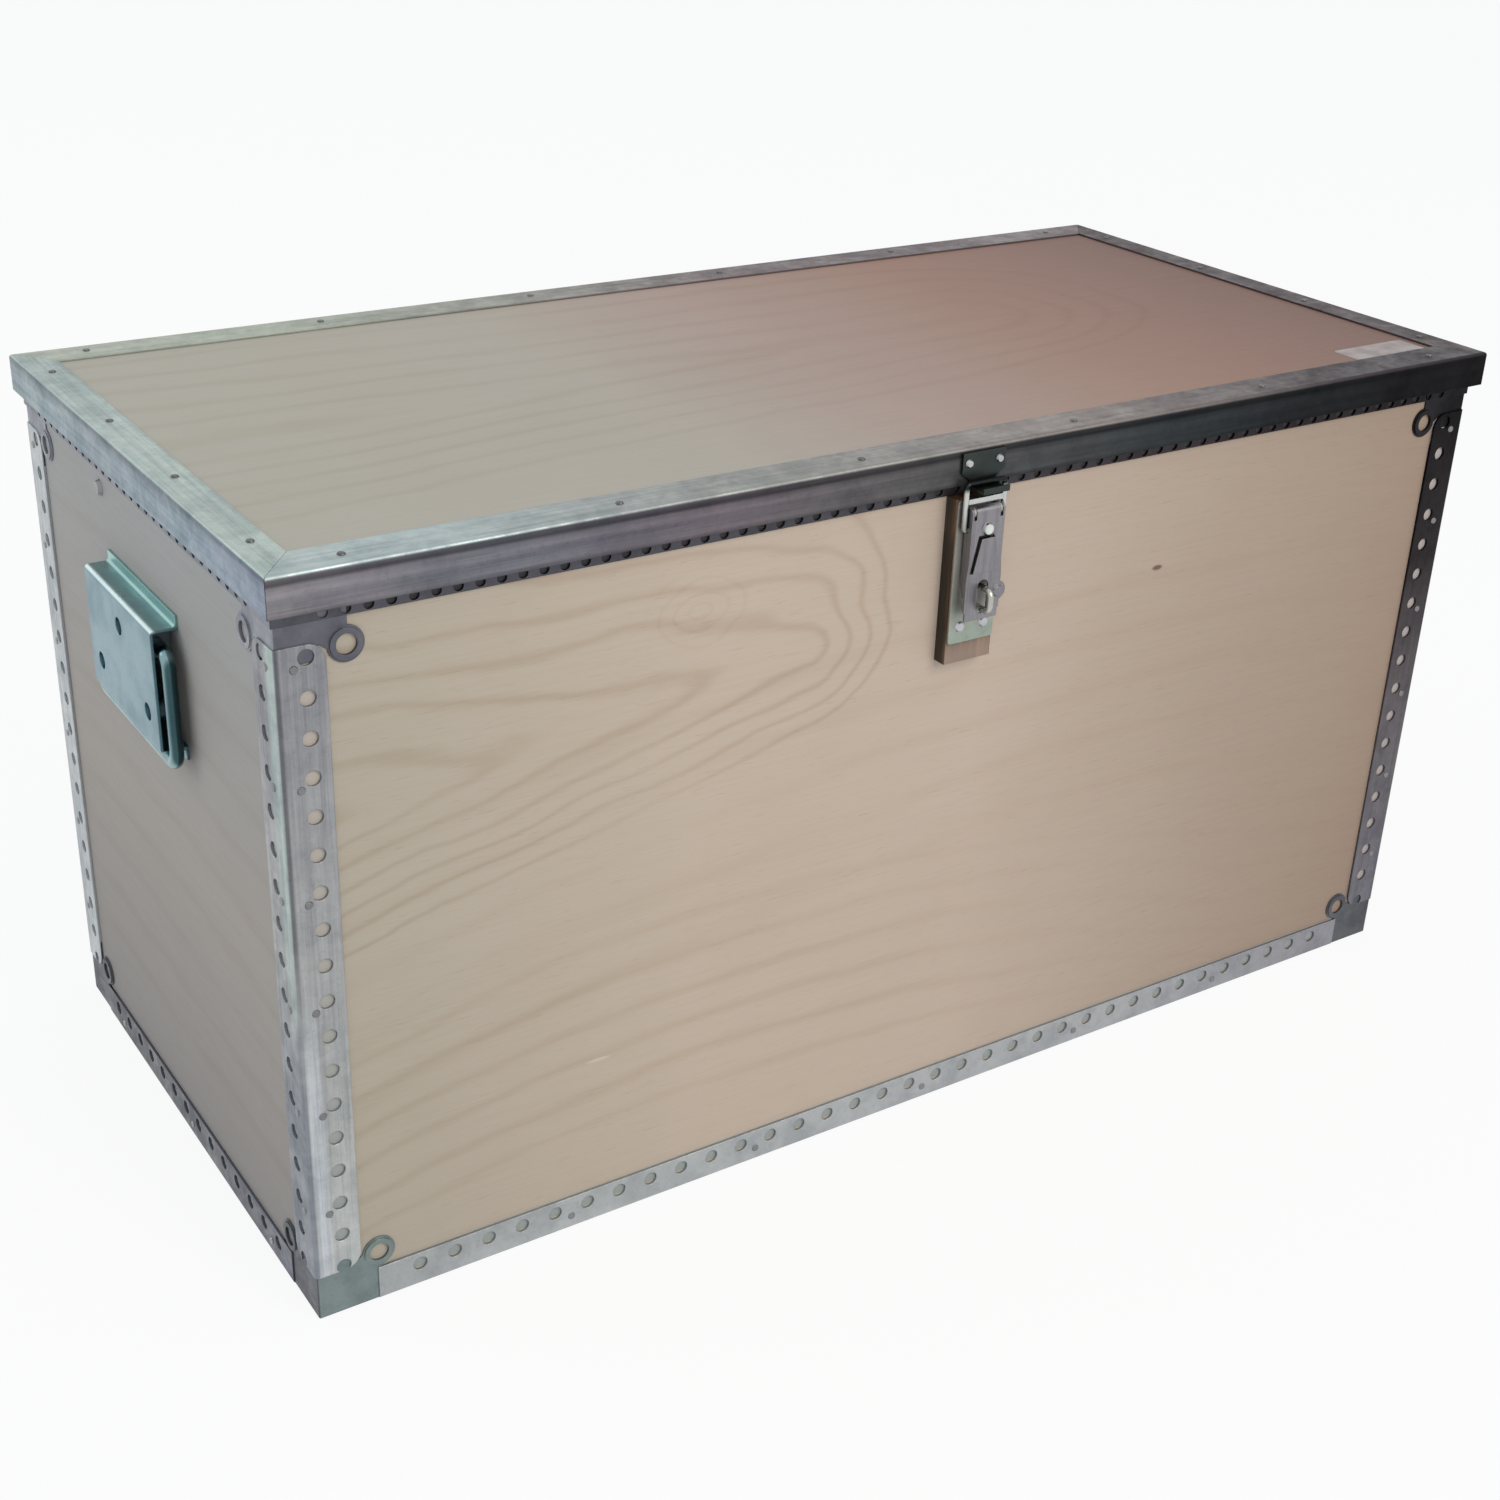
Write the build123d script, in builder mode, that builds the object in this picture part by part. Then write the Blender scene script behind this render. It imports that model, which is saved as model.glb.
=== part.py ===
"""Plywood chuck box with perforated steel corner angles, a hinged lid, a lever latch and two bail handles.

Millimetres. The origin is at the centre of the underside: +X runs along the front to the right,
+Y points to the back and +Z up. The box stands on the steel angles along its bottom edges.
"""

import os
from math import cos, radians

from build123d import *

os.makedirs("parts", exist_ok=True)

# Body
LENGTH = 775.0
WIDTH = 366.0
BODY_HEIGHT = 403.0
PLY = 9.0
ANGLE_T = 1.6
BRACKET_T = 0.8

# Lid
LID_OVERHANG_X = 3.5
LID_OVERHANG_Y = 6.5
LID_TOP = 413.5
LID_LONG_RIM = 24.5
LID_END_RIM = 20.0
LID_SKIRT = 20.2
LID_STEEL = 1.2
LID_SEAM = 0.3

# Perforated edge angles
ANGLE_LEG = 25.0
ANGLE_FROM = 27.0
ANGLE_TO = 376.0
BOTTOM_LEG = 20.5
BOTTOM_END_GAP = 34.0
HOLE_R = 4.0
HOLE_PITCH = 20.0
HOLE_INSET = 15.5
BOTTOM_HOLE_Z = 13.6
TRIM_LEG = 16.6
TRIM_HOLE_R = 2.6
TRIM_HOLE_PITCH = 11.0
TRIM_HOLE_Z = 389.6

# Pressed corner brackets: legs along both edges of each face and a diagonal web to a round eye
BRACKET_LEG = 36.0
BRACKET_BAND = 22.0
EYE_IN = 35.0
EYE_RISE = 30.6
EYE_R = 9.0
EYE_HOLE_R = 5.2
EYE_LIP = 0.9
BRACKET_ZONE = 46.0

# Nails
NAIL_HEAD_R = 2.1
NAIL_HEAD_H = 0.6
NAIL_R = 0.9
NAIL_LENGTH = 8.0
NAIL_HOLE_R = NAIL_R + 0.1
NAIL_INSET = 9.5
NAIL_PITCH = 60.0
EDGE_NAIL_PITCH = 120.0
LID_NAIL_INSET = 11.0

# Hinges at the back
HINGE_X = 250.0
HINGE_HALF = 28.0
HINGE_LEAF_T = 1.5
HINGE_AXIS_Z = 391.5
KNUCKLE_R = 4.2
HINGE_PIN_R = 2.25
RUNNING = 0.05

# Handles at both ends
HANDLE_HALF = 51.0
HANDLE_DEPTH = 14.5
HANDLE_FACE = (271.0, 338.0)
HANDLE_FLANGE = 6.0
HANDLE_SHEET = 1.5
BAIL_R = 3.6
BAIL_AXIS_OUT = 8.0
BAIL_AXIS_Z = 325.5
BAIL_GRIP_Z = 265.5
BAIL_ARM = 56.0
BAIL_STUB = 21.0
BAIL_BEND = 7.0

# Latch at the middle of the front
PACKER_T = 8.5
PACKER_HALF = 15.5
PACKER_Z = (292.5, 386.0)
BASE_T = 1.5
BASE_HALF = 15.0
BASE_Z = (304.5, 386.0)
PIVOT_OUT = 13.8
PIVOT_Z = 380.0
LEVER_T = 1.2
LEVER_NOSE_R = 3.2
LEVER_BOTTOM = 319.5
LEVER_HALF = 10.8
LOOP_WIRE_R = 1.5
LOOP_HALF = 12.6
LOOP_PIVOT_IN = 1.2
LOOP_PIVOT_DROP = 10.0
LOOP_BAR_Z = 395.0
STAPLE_R = 1.75
STAPLE_OUT = 25.7
STAPLE_Z = (325.5, 337.5)

# Sizes that follow
HALF_X = LENGTH / 2
HALF_Y = WIDTH / 2
PLY_X = HALF_X - ANGLE_T
PLY_Y = HALF_Y - ANGLE_T
PLY_TOP = BODY_HEIGHT - ANGLE_T
FLOOR_TOP = ANGLE_T + PLY
LID_X = HALF_X + LID_OVERHANG_X
LID_Y = HALF_Y + LID_OVERHANG_Y
LID_PLY_TOP = LID_TOP - LID_STEEL

# Outward direction, half length of the run and half width across, for each side of the body
SIDES = {
    "front": (Vector(0, -1, 0), HALF_X, HALF_Y),
    "back": (Vector(0, 1, 0), HALF_X, HALF_Y),
    "left": (Vector(-1, 0, 0), HALF_Y, HALF_X),
    "right": (Vector(1, 0, 0), HALF_Y, HALF_X),
}
CORNERS = {
    "front_left": (-1, -1),
    "front_right": (1, -1),
    "back_left": (-1, 1),
    "back_right": (1, 1),
}
UP = Vector(0, 0, 1)


def face_plane(outward, out):
    """The upright plane at a distance out from the origin, with its local x level and its local y up."""
    return Plane(origin=outward * out, x_dir=UP.cross(outward), z_dir=outward)


def section_plane(outward, out, along=0.0):
    """The upright plane across a side: local x points outward from out, local y up."""
    run = outward.cross(UP)
    return Plane(origin=outward * out + run * along, x_dir=outward, z_dir=run)


def run_plane(outward, height):
    """The level plane whose local x runs along a side and whose local y points outward."""
    return Plane(origin=(0, 0, height), x_dir=outward.cross(UP), z_dir=UP)


def save(part, name):
    """Label a finished piece and write it."""
    part.label = name
    export_step(part, f"parts/{name}.step")


def slab(x, y, z):
    """A rectangular piece between the low and high values in x, y and z."""
    with BuildPart() as piece:
        with BuildSketch(Plane.XY.offset(z[0])):
            with Locations(((x[0] + x[1]) / 2, (y[0] + y[1]) / 2)):
                Rectangle(x[1] - x[0], y[1] - y[0])
        extrude(amount=z[1] - z[0])
    return piece.part


def steps(first, last, pitch):
    """Evenly spaced values from first to last."""
    count = int(round((last - first) / pitch))
    return [first + pitch * i for i in range(count + 1)]


# ---------------------------------------------------------------- plywood panels

save(slab((-PLY_X, PLY_X), (-PLY_Y, PLY_Y), (ANGLE_T, FLOOR_TOP)), "bottom_panel")
save(slab((-PLY_X, PLY_X), (-PLY_Y, PLY - PLY_Y), (FLOOR_TOP, PLY_TOP)), "front_panel")
save(slab((-PLY_X, PLY_X), (PLY_Y - PLY, PLY_Y), (FLOOR_TOP, PLY_TOP)), "back_panel")
END_Y = (PLY - PLY_Y, PLY_Y - PLY)
save(slab((-PLY_X, PLY - PLY_X), END_Y, (FLOOR_TOP, PLY_TOP)), "left_panel")
save(slab((PLY_X - PLY, PLY_X), END_Y, (FLOOR_TOP, PLY_TOP)), "right_panel")

# ---------------------------------------------------------------- nail positions on each side

CORNER_NAIL_Z = steps(65.0, 365.0, NAIL_PITCH)
BOTTOM_NAIL_Z = 8.0
TRIM_NAIL_Z = 398.5


def edge_nail_runs(half_run):
    """Positions along a side of the nails in its bottom angle and its top trim."""
    reach = EDGE_NAIL_PITCH * int((half_run - BRACKET_ZONE - 5) / EDGE_NAIL_PITCH)
    return steps(-reach, reach, EDGE_NAIL_PITCH)


def corner_nail_points(half_run):
    """Nails on one side in its two upright angles."""
    runs = (NAIL_INSET - half_run, half_run - NAIL_INSET)
    return [(run, z) for run in runs for z in CORNER_NAIL_Z]


# ---------------------------------------------------------------- perforated corner angles

ANGLE_HOLE_Z = steps(30.0, 370.0, HOLE_PITCH)
ANGLE_EDGE_R = 2.0
ANGLE_END_R = 9.0
JOGGLE_BLOCK = 40.0


def corner_angle(sx, sy):
    """An upright L-section over one corner, holed along both legs and joggled over the brackets."""
    leg = [
        (HALF_X, HALF_Y),
        (HALF_X - ANGLE_LEG, HALF_Y),
        (HALF_X - ANGLE_LEG, PLY_Y),
        (PLY_X, PLY_Y),
        (PLY_X, HALF_Y - ANGLE_LEG),
        (HALF_X, HALF_Y - ANGLE_LEG),
    ]
    hole_x = sx * (HALF_X - HOLE_INSET)
    hole_y = sy * (HALF_Y - HOLE_INSET)
    nail_x = sx * (HALF_X - NAIL_INSET)
    nail_y = sy * (HALF_Y - NAIL_INSET)
    with BuildPart() as angle:
        with BuildSketch(Plane.XY.offset(ANGLE_FROM)):
            with BuildLine():
                Polyline([(sx * x, sy * y) for x, y in leg], close=True)
            make_face()
        extrude(amount=ANGLE_TO - ANGLE_FROM)
        # joggle: half of the thickness gives way to the bracket at each end
        for low, high in ((0, BRACKET_ZONE), (BODY_HEIGHT - BRACKET_ZONE, BODY_HEIGHT)):
            with BuildSketch(Plane.XY.offset(low)):
                block_x = PLY_X + BRACKET_T - JOGGLE_BLOCK / 2
                block_y = PLY_Y + BRACKET_T - JOGGLE_BLOCK / 2
                with Locations((sx * block_x, sy * block_y)):
                    Rectangle(JOGGLE_BLOCK, JOGGLE_BLOCK)
            extrude(amount=high - low, mode=Mode.SUBTRACT)
        upright = angle.edges().filter_by(Axis.Z)
        fillet(upright.sort_by_distance((sx * HALF_X, sy * HALF_Y, 200))[0], radius=ANGLE_EDGE_R)
        # rounded free corners at both ends
        free = [
            edge
            for edge in angle.edges().filter_by(Axis.Y)
            if abs(abs(edge.center().X) - (HALF_X - ANGLE_LEG)) < 0.01
            and min(abs(edge.center().Z - ANGLE_FROM), abs(edge.center().Z - ANGLE_TO)) < 0.01
        ]
        free += [
            edge
            for edge in angle.edges().filter_by(Axis.X)
            if abs(abs(edge.center().Y) - (HALF_Y - ANGLE_LEG)) < 0.01
            and min(abs(edge.center().Z - ANGLE_FROM), abs(edge.center().Z - ANGLE_TO)) < 0.01
        ]
        fillet(free, radius=ANGLE_END_R)
        with BuildSketch(Plane.XZ.offset(-sy * HALF_Y)):
            with Locations([(hole_x, z) for z in ANGLE_HOLE_Z]):
                Circle(HOLE_R)
            with Locations([(nail_x, z) for z in CORNER_NAIL_Z]):
                Circle(NAIL_HOLE_R)
        extrude(amount=2 * ANGLE_T, both=True, mode=Mode.SUBTRACT)
        with BuildSketch(Plane.YZ.offset(sx * HALF_X)):
            with Locations([(hole_y, z) for z in ANGLE_HOLE_Z]):
                Circle(HOLE_R)
            with Locations([(nail_y, z) for z in CORNER_NAIL_Z]):
                Circle(NAIL_HOLE_R)
        extrude(amount=2 * ANGLE_T, both=True, mode=Mode.SUBTRACT)
    return angle.part


for place, (sx, sy) in CORNERS.items():
    save(corner_angle(sx, sy), f"corner_angle_{place}")

# ---------------------------------------------------------------- bottom edge angles


def bottom_angle(outward, half_run, half_out):
    """An L-section under one bottom edge, between the corner brackets. The box rests on its level leg."""
    reach = half_run - BOTTOM_END_GAP
    first = HOLE_PITCH / 2 - HOLE_PITCH * int((reach - 6) / HOLE_PITCH)
    runs = steps(first, -first, HOLE_PITCH)
    nails = edge_nail_runs(half_run)
    with BuildPart() as angle:
        with BuildSketch(section_plane(outward, half_out, -reach)):
            with BuildLine():
                Polyline(
                    (0, 0),
                    (-ANGLE_LEG, 0),
                    (-ANGLE_LEG, ANGLE_T),
                    (-ANGLE_T, ANGLE_T),
                    (-ANGLE_T, BOTTOM_LEG),
                    (0, BOTTOM_LEG),
                    close=True,
                )
            make_face()
        extrude(amount=2 * reach)
        long_edges = angle.edges().filter_by(Axis(origin=(0, 0, 0), direction=outward.cross(UP)))
        fillet(long_edges.sort_by_distance(outward * half_out)[0], radius=ANGLE_EDGE_R)
        # joggle over the brackets at both ends
        for start in (-half_run, half_run - BRACKET_ZONE):
            with BuildSketch(section_plane(outward, half_out - BRACKET_T, start)):
                with Locations((-JOGGLE_BLOCK / 2, BRACKET_T + JOGGLE_BLOCK / 2)):
                    Rectangle(JOGGLE_BLOCK, JOGGLE_BLOCK)
            extrude(amount=BRACKET_ZONE, mode=Mode.SUBTRACT)
        with BuildSketch(face_plane(outward, half_out)):
            with Locations([(run, BOTTOM_HOLE_Z) for run in runs]):
                Circle(HOLE_R)
            with Locations([(run, BOTTOM_NAIL_Z) for run in nails]):
                Circle(NAIL_HOLE_R)
        extrude(amount=2 * ANGLE_T, both=True, mode=Mode.SUBTRACT)
        with BuildSketch(run_plane(outward, 0)):
            with Locations([(run, half_out - HOLE_INSET) for run in runs]):
                Circle(HOLE_R)
        extrude(amount=2 * ANGLE_T, both=True, mode=Mode.SUBTRACT)
    return angle.part


for side, (outward, half_run, half_out) in SIDES.items():
    save(bottom_angle(outward, half_run, half_out), f"bottom_angle_{side}")

# ---------------------------------------------------------------- top edge trims and lid trims


def edge_trim(outward, half_run, half_out, top, skirt, rims, sheet, seam):
    """A mitred L-section over one top edge: an upright skirt outside and a level rim on top.

    rims are the widths of this rim and of the one that meets it at both ends.
    """
    rim, rim_beside = rims
    cut = rim + 5
    slant = rim_beside / rim
    end_run = half_run - seam / 2
    with BuildPart() as trim:
        with BuildSketch(section_plane(outward, half_out, -half_run)):
            with BuildLine():
                Polyline(
                    (0, top),
                    (-rim, top),
                    (-rim, top - sheet),
                    (-sheet, top - sheet),
                    (-sheet, top - skirt),
                    (0, top - skirt),
                    close=True,
                )
            make_face()
        extrude(amount=2 * half_run)
        long_edges = trim.edges().filter_by(Axis(origin=(0, 0, 0), direction=outward.cross(UP)))
        fillet(long_edges.sort_by_distance(outward * half_out + UP * top)[0], radius=1.5 * sheet)
        # mitres from the outer to the inner corner, each held back by half of the seam
        with BuildSketch(run_plane(outward, top)):
            for end in (-1, 1):
                with BuildLine():
                    Polyline(
                        (end * (end_run + slant), half_out + 1),
                        (end * (half_run + slant + 1), half_out + 1),
                        (end * (half_run + slant + 1), half_out - cut),
                        (end * (end_run - slant * cut), half_out - cut),
                        close=True,
                    )
                make_face()
        extrude(amount=-skirt - 1, mode=Mode.SUBTRACT)
    return trim.part


TRIM_RIM = ANGLE_T + PLY
TRIM_SEAM = 0.2


def top_trim(outward, half_run, half_out):
    """The trim on one top edge of the body, with its row of small holes, joggled over the brackets."""
    reach = TRIM_HOLE_PITCH * int((half_run - 24) / TRIM_HOLE_PITCH)
    blank = edge_trim(
        outward, half_run, half_out, BODY_HEIGHT, TRIM_LEG, (TRIM_RIM, TRIM_RIM), ANGLE_T, TRIM_SEAM
    )
    with BuildPart() as trim:
        add(blank)
        for start in (-half_run, half_run - BRACKET_ZONE):
            with BuildSketch(section_plane(outward, half_out - BRACKET_T, start)):
                with Locations((-JOGGLE_BLOCK / 2, PLY_TOP - JOGGLE_BLOCK / 2)):
                    Rectangle(JOGGLE_BLOCK, JOGGLE_BLOCK)
            extrude(amount=BRACKET_ZONE, mode=Mode.SUBTRACT)
        with BuildSketch(face_plane(outward, half_out)):
            with Locations([(run, TRIM_HOLE_Z) for run in steps(-reach, reach, TRIM_HOLE_PITCH)]):
                Circle(TRIM_HOLE_R)
            with Locations([(run, TRIM_NAIL_Z) for run in edge_nail_runs(half_run)]):
                Circle(NAIL_HOLE_R)
        extrude(amount=2 * ANGLE_T, both=True, mode=Mode.SUBTRACT)
    return trim.part


for side, (outward, half_run, half_out) in SIDES.items():
    save(top_trim(outward, half_run, half_out), f"top_trim_{side}")

# ---------------------------------------------------------------- corner brackets

BRACKET_EDGE_R = 1.0
WEB_FROM = 10.0
WEB_HALF = 6.5
WEB_SLANT = WEB_HALF / 2**0.5
EYE_LIP_R = EYE_R - 1.0


def bracket_eye(origin, along, across, radius):
    """Sketch the round eye of one face of a bracket."""
    with Locations((origin[0] + along * EYE_IN, origin[1] + across * EYE_RISE)):
        Circle(radius)
        Circle(EYE_HOLE_R, mode=Mode.SUBTRACT)


def bracket_face(origin, along, across, start):
    """Sketch one face of a bracket from its corner: two legs, the slanted web and the round eye.

    The corner itself is at origin, with along and across as the signs of the face's local axes.
    The sheet begins at start, a pair of small distances in from the corner.
    """
    def local(u, v):
        return (origin[0] + along * u, origin[1] + across * v)

    legs = ((BRACKET_LEG, BRACKET_BAND), (BRACKET_BAND, BRACKET_LEG))
    for end_u, end_v in legs:
        with Locations(local((start[0] + end_u) / 2, (start[1] + end_v) / 2)):
            Rectangle(end_u - start[0], end_v - start[1])
    Polygon(
        local(WEB_FROM + WEB_SLANT, WEB_FROM - WEB_SLANT),
        local(EYE_IN + WEB_SLANT, EYE_RISE - WEB_SLANT),
        local(EYE_IN - WEB_SLANT, EYE_RISE + WEB_SLANT),
        local(WEB_FROM - WEB_SLANT, WEB_FROM + WEB_SLANT),
        align=None,
    )
    bracket_eye(origin, along, across, EYE_R)


def corner_bracket(sx, sy, top):
    """A pressed corner: one face on the front or back, one on the end, and one underneath at the bottom."""
    under = ANGLE_T - BRACKET_T
    corner_z = BODY_HEIGHT if top else 0
    rise = -1 if top else 1
    start_z = ANGLE_T if top else under
    with BuildPart() as bracket:
        with BuildSketch(Plane.XZ.offset(-sy * PLY_Y)):
            bracket_face((sx * HALF_X, corner_z), -sx, rise, (under, start_z))
        extrude(amount=-sy * BRACKET_T)
        with BuildSketch(Plane.YZ.offset(sx * PLY_X)):
            bracket_face((sy * HALF_Y, corner_z), -sy, rise, (under, start_z))
        extrude(amount=sx * BRACKET_T)
        # a pressed lip stands round each eye
        with BuildSketch(Plane.XZ.offset(-sy * (PLY_Y + BRACKET_T))):
            bracket_eye((sx * HALF_X, corner_z), -sx, rise, EYE_LIP_R)
        extrude(amount=-sy * EYE_LIP)
        with BuildSketch(Plane.YZ.offset(sx * (PLY_X + BRACKET_T))):
            bracket_eye((sy * HALF_Y, corner_z), -sy, rise, EYE_LIP_R)
        extrude(amount=sx * EYE_LIP)
        if not top:
            with BuildSketch(Plane.XY.offset(under)):
                bracket_face((sx * HALF_X, sy * HALF_Y), -sx, -sy, (under, under))
            extrude(amount=BRACKET_T)
        corner = (sx * (HALF_X - under), sy * (HALF_Y - under), corner_z + rise * BRACKET_LEG / 2)
        fillet(bracket.edges().filter_by(Axis.Z).sort_by_distance(corner)[0], radius=BRACKET_EDGE_R)
    return bracket.part


for place, (sx, sy) in CORNERS.items():
    save(corner_bracket(sx, sy, top=False), f"bottom_bracket_{place}")
    save(corner_bracket(sx, sy, top=True), f"top_bracket_{place}")

# ---------------------------------------------------------------- nails of the body

with BuildPart() as frame_nails:
    for outward, half_run, half_out in SIDES.values():
        runs = edge_nail_runs(half_run)
        points = corner_nail_points(half_run)
        points += [(run, z) for run in runs for z in (BOTTOM_NAIL_Z, TRIM_NAIL_Z)]
        with BuildSketch(face_plane(outward, half_out)):
            with Locations(points):
                Circle(NAIL_HEAD_R)
        extrude(amount=NAIL_HEAD_H, taper=30)
        with BuildSketch(face_plane(outward, half_out)):
            with Locations(points):
                Circle(NAIL_R)
        extrude(amount=-NAIL_LENGTH)
save(frame_nails.part, "frame_nails")

# Screws up through the bottom panel into the walls, hidden by the bottom angles
SCREW_R = 1.9
SCREW_HEAD_R = 3.8
SCREW_HEAD_H = 2.0
BOTTOM_SCREW_LENGTH = 32.0
bottom_screw_points = [
    (x, sy * (PLY_Y - PLY / 2)) for sy in (-1, 1) for x in steps(-270, 270, 180)
]
bottom_screw_points += [(sx * (PLY_X - PLY / 2), y) for sx in (-1, 1) for y in (-60, 60)]
with BuildPart() as bottom_screws:
    with BuildSketch(Plane.XY.offset(ANGLE_T)):
        with Locations(bottom_screw_points):
            Circle(SCREW_HEAD_R)
    extrude(amount=SCREW_HEAD_H, taper=40)
    with BuildSketch(Plane.XY.offset(ANGLE_T)):
        with Locations(bottom_screw_points):
            Circle(SCREW_R)
    extrude(amount=BOTTOM_SCREW_LENGTH)
save(bottom_screws.part, "bottom_screws")

# ---------------------------------------------------------------- lid stay bolt in the left end

STAY_BOLT = (-57.0, 376.0)
STAY_HEAD_R = 4.5
STAY_HEAD_H = 2.2
STAY_BOLT_R = 2.5
STAY_NUT_R = 4.6
STAY_NUT_H = 4.0
STAY_BOLT_REACH = 7.0
left_face = face_plane(Vector(-1, 0, 0), PLY_X)
with BuildPart() as stay_bolt:
    with BuildSketch(left_face):
        with Locations(STAY_BOLT):
            Circle(STAY_HEAD_R)
    extrude(amount=STAY_HEAD_H, taper=25)
    with BuildSketch(left_face):
        with Locations(STAY_BOLT):
            Circle(STAY_BOLT_R)
    extrude(amount=-PLY - STAY_BOLT_REACH)
save(stay_bolt.part, "lid_stay_bolt")
with BuildPart() as stay_nut:
    with BuildSketch(left_face.offset(-PLY)):
        with Locations(STAY_BOLT):
            RegularPolygon(STAY_NUT_R, 6)
            Circle(STAY_BOLT_R, mode=Mode.SUBTRACT)
    extrude(amount=-STAY_NUT_H)
save(stay_nut.part, "lid_stay_nut")

# ---------------------------------------------------------------- lid

save(
    slab(
        (LID_STEEL - LID_X, LID_X - LID_STEEL),
        (LID_STEEL - LID_Y, LID_Y - LID_STEEL),
        (LID_PLY_TOP - PLY, LID_PLY_TOP),
    ),
    "lid_panel",
)


LID_NAILS = {"front": (140.4, 6), "back": (140.4, 6), "left": (97.0, 4), "right": (97.0, 4)}


def lid_nail_runs(side):
    """Positions of the nails along one rim of the lid, measured from its middle."""
    pitch, count = LID_NAILS[side]
    return [pitch * (i - (count - 1) / 2) for i in range(count)]


for side, (outward, half_run, half_out) in SIDES.items():
    over_run, over_out = LID_OVERHANG_X, LID_OVERHANG_Y
    rims = (LID_LONG_RIM, LID_END_RIM)
    if side in ("left", "right"):
        over_run, over_out = LID_OVERHANG_Y, LID_OVERHANG_X
        rims = (LID_END_RIM, LID_LONG_RIM)
    blank = edge_trim(
        outward,
        half_run + over_run,
        half_out + over_out,
        LID_TOP,
        LID_SKIRT,
        rims,
        LID_STEEL,
        LID_SEAM,
    )
    nail_out = half_out + over_out - LID_NAIL_INSET
    with BuildPart() as lid_trim:
        add(blank)
        with BuildSketch(run_plane(outward, LID_TOP)):
            with Locations([(run, nail_out) for run in lid_nail_runs(side)]):
                Circle(NAIL_HOLE_R)
        extrude(amount=-2 * LID_STEEL, mode=Mode.SUBTRACT)
    save(lid_trim.part, f"lid_trim_{side}")

with BuildPart() as lid_nails:
    for side, (outward, half_run, half_out) in SIDES.items():
        over_out = LID_OVERHANG_Y if side in ("front", "back") else LID_OVERHANG_X
        points = [(run, half_out + over_out - LID_NAIL_INSET) for run in lid_nail_runs(side)]
        with BuildSketch(run_plane(outward, LID_TOP)):
            with Locations(points):
                Circle(NAIL_HEAD_R)
        extrude(amount=NAIL_HEAD_H, taper=30)
        with BuildSketch(run_plane(outward, LID_TOP)):
            with Locations(points):
                Circle(NAIL_R)
        extrude(amount=-NAIL_LENGTH)
save(lid_nails.part, "lid_nails")

# ---------------------------------------------------------------- hinges

BACK = SIDES["back"][0]
HINGE_AXIS_Y = LID_Y + KNUCKLE_R
HINGE_LEAF_LOW = 342.0
HINGE_LEAF_HIGH = 411.5
KNUCKLE_GAP = 0.3
KNUCKLE_CLEAR = 0.5
HINGE_PACKER_Z = (340.0, 386.0)
HINGE_PACKER_HALF = HINGE_HALF + 2.0
BODY_KNUCKLES = ((-28.0, -17.0), (-5.5, 5.5), (17.0, 28.0))
LID_KNUCKLES = ((-16.7, -5.8), (5.8, 16.7))
HINGE_SCREW_R = 1.7
HINGE_SCREW_HEAD_R = 3.4
HINGE_SCREW_HEAD_H = 1.0
HINGE_BODY_SCREW_LENGTH = 17.0
HINGE_LID_SCREW_LENGTH = 15.0
BODY_LEAF_SCREWS = ((-18.0, 376.0), (18.0, 376.0), (0.0, 356.0))
LID_LEAF_SCREWS = ((-18.0, 407.0), (0.0, 407.0), (18.0, 407.0))


def hinge_leaf(hinge_x, z_range, knuckles, bore, screws):
    """A plate on the back with its rolled knuckles round the hinge axis and its screw holes."""
    low, high = z_range
    near = high if high < HINGE_AXIS_Z else low
    with BuildPart() as leaf:
        with BuildSketch(Plane.XZ.offset(-LID_Y)):
            with Locations((hinge_x, (low + high) / 2)):
                Rectangle(2 * HINGE_HALF, high - low)
            with Locations([(hinge_x + x, z) for x, z in screws]):
                Circle(HINGE_SCREW_R, mode=Mode.SUBTRACT)
        extrude(amount=-HINGE_LEAF_T)
        for left, right in knuckles:
            with BuildSketch(Plane.XZ.offset(-LID_Y)):
                with Locations((hinge_x + (left + right) / 2, (near + HINGE_AXIS_Z) / 2)):
                    Rectangle(right - left, abs(HINGE_AXIS_Z - near))
            extrude(amount=-HINGE_LEAF_T)
            with BuildSketch(Plane.YZ.offset(hinge_x + left)):
                with Locations((HINGE_AXIS_Y, HINGE_AXIS_Z)):
                    Circle(KNUCKLE_R)
            extrude(amount=right - left)
        with BuildSketch(Plane.YZ.offset(hinge_x - HINGE_HALF - 1)):
            with Locations((HINGE_AXIS_Y, HINGE_AXIS_Z)):
                Circle(bore)
        extrude(amount=2 * HINGE_HALF + 2, mode=Mode.SUBTRACT)
    return leaf.part


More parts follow.
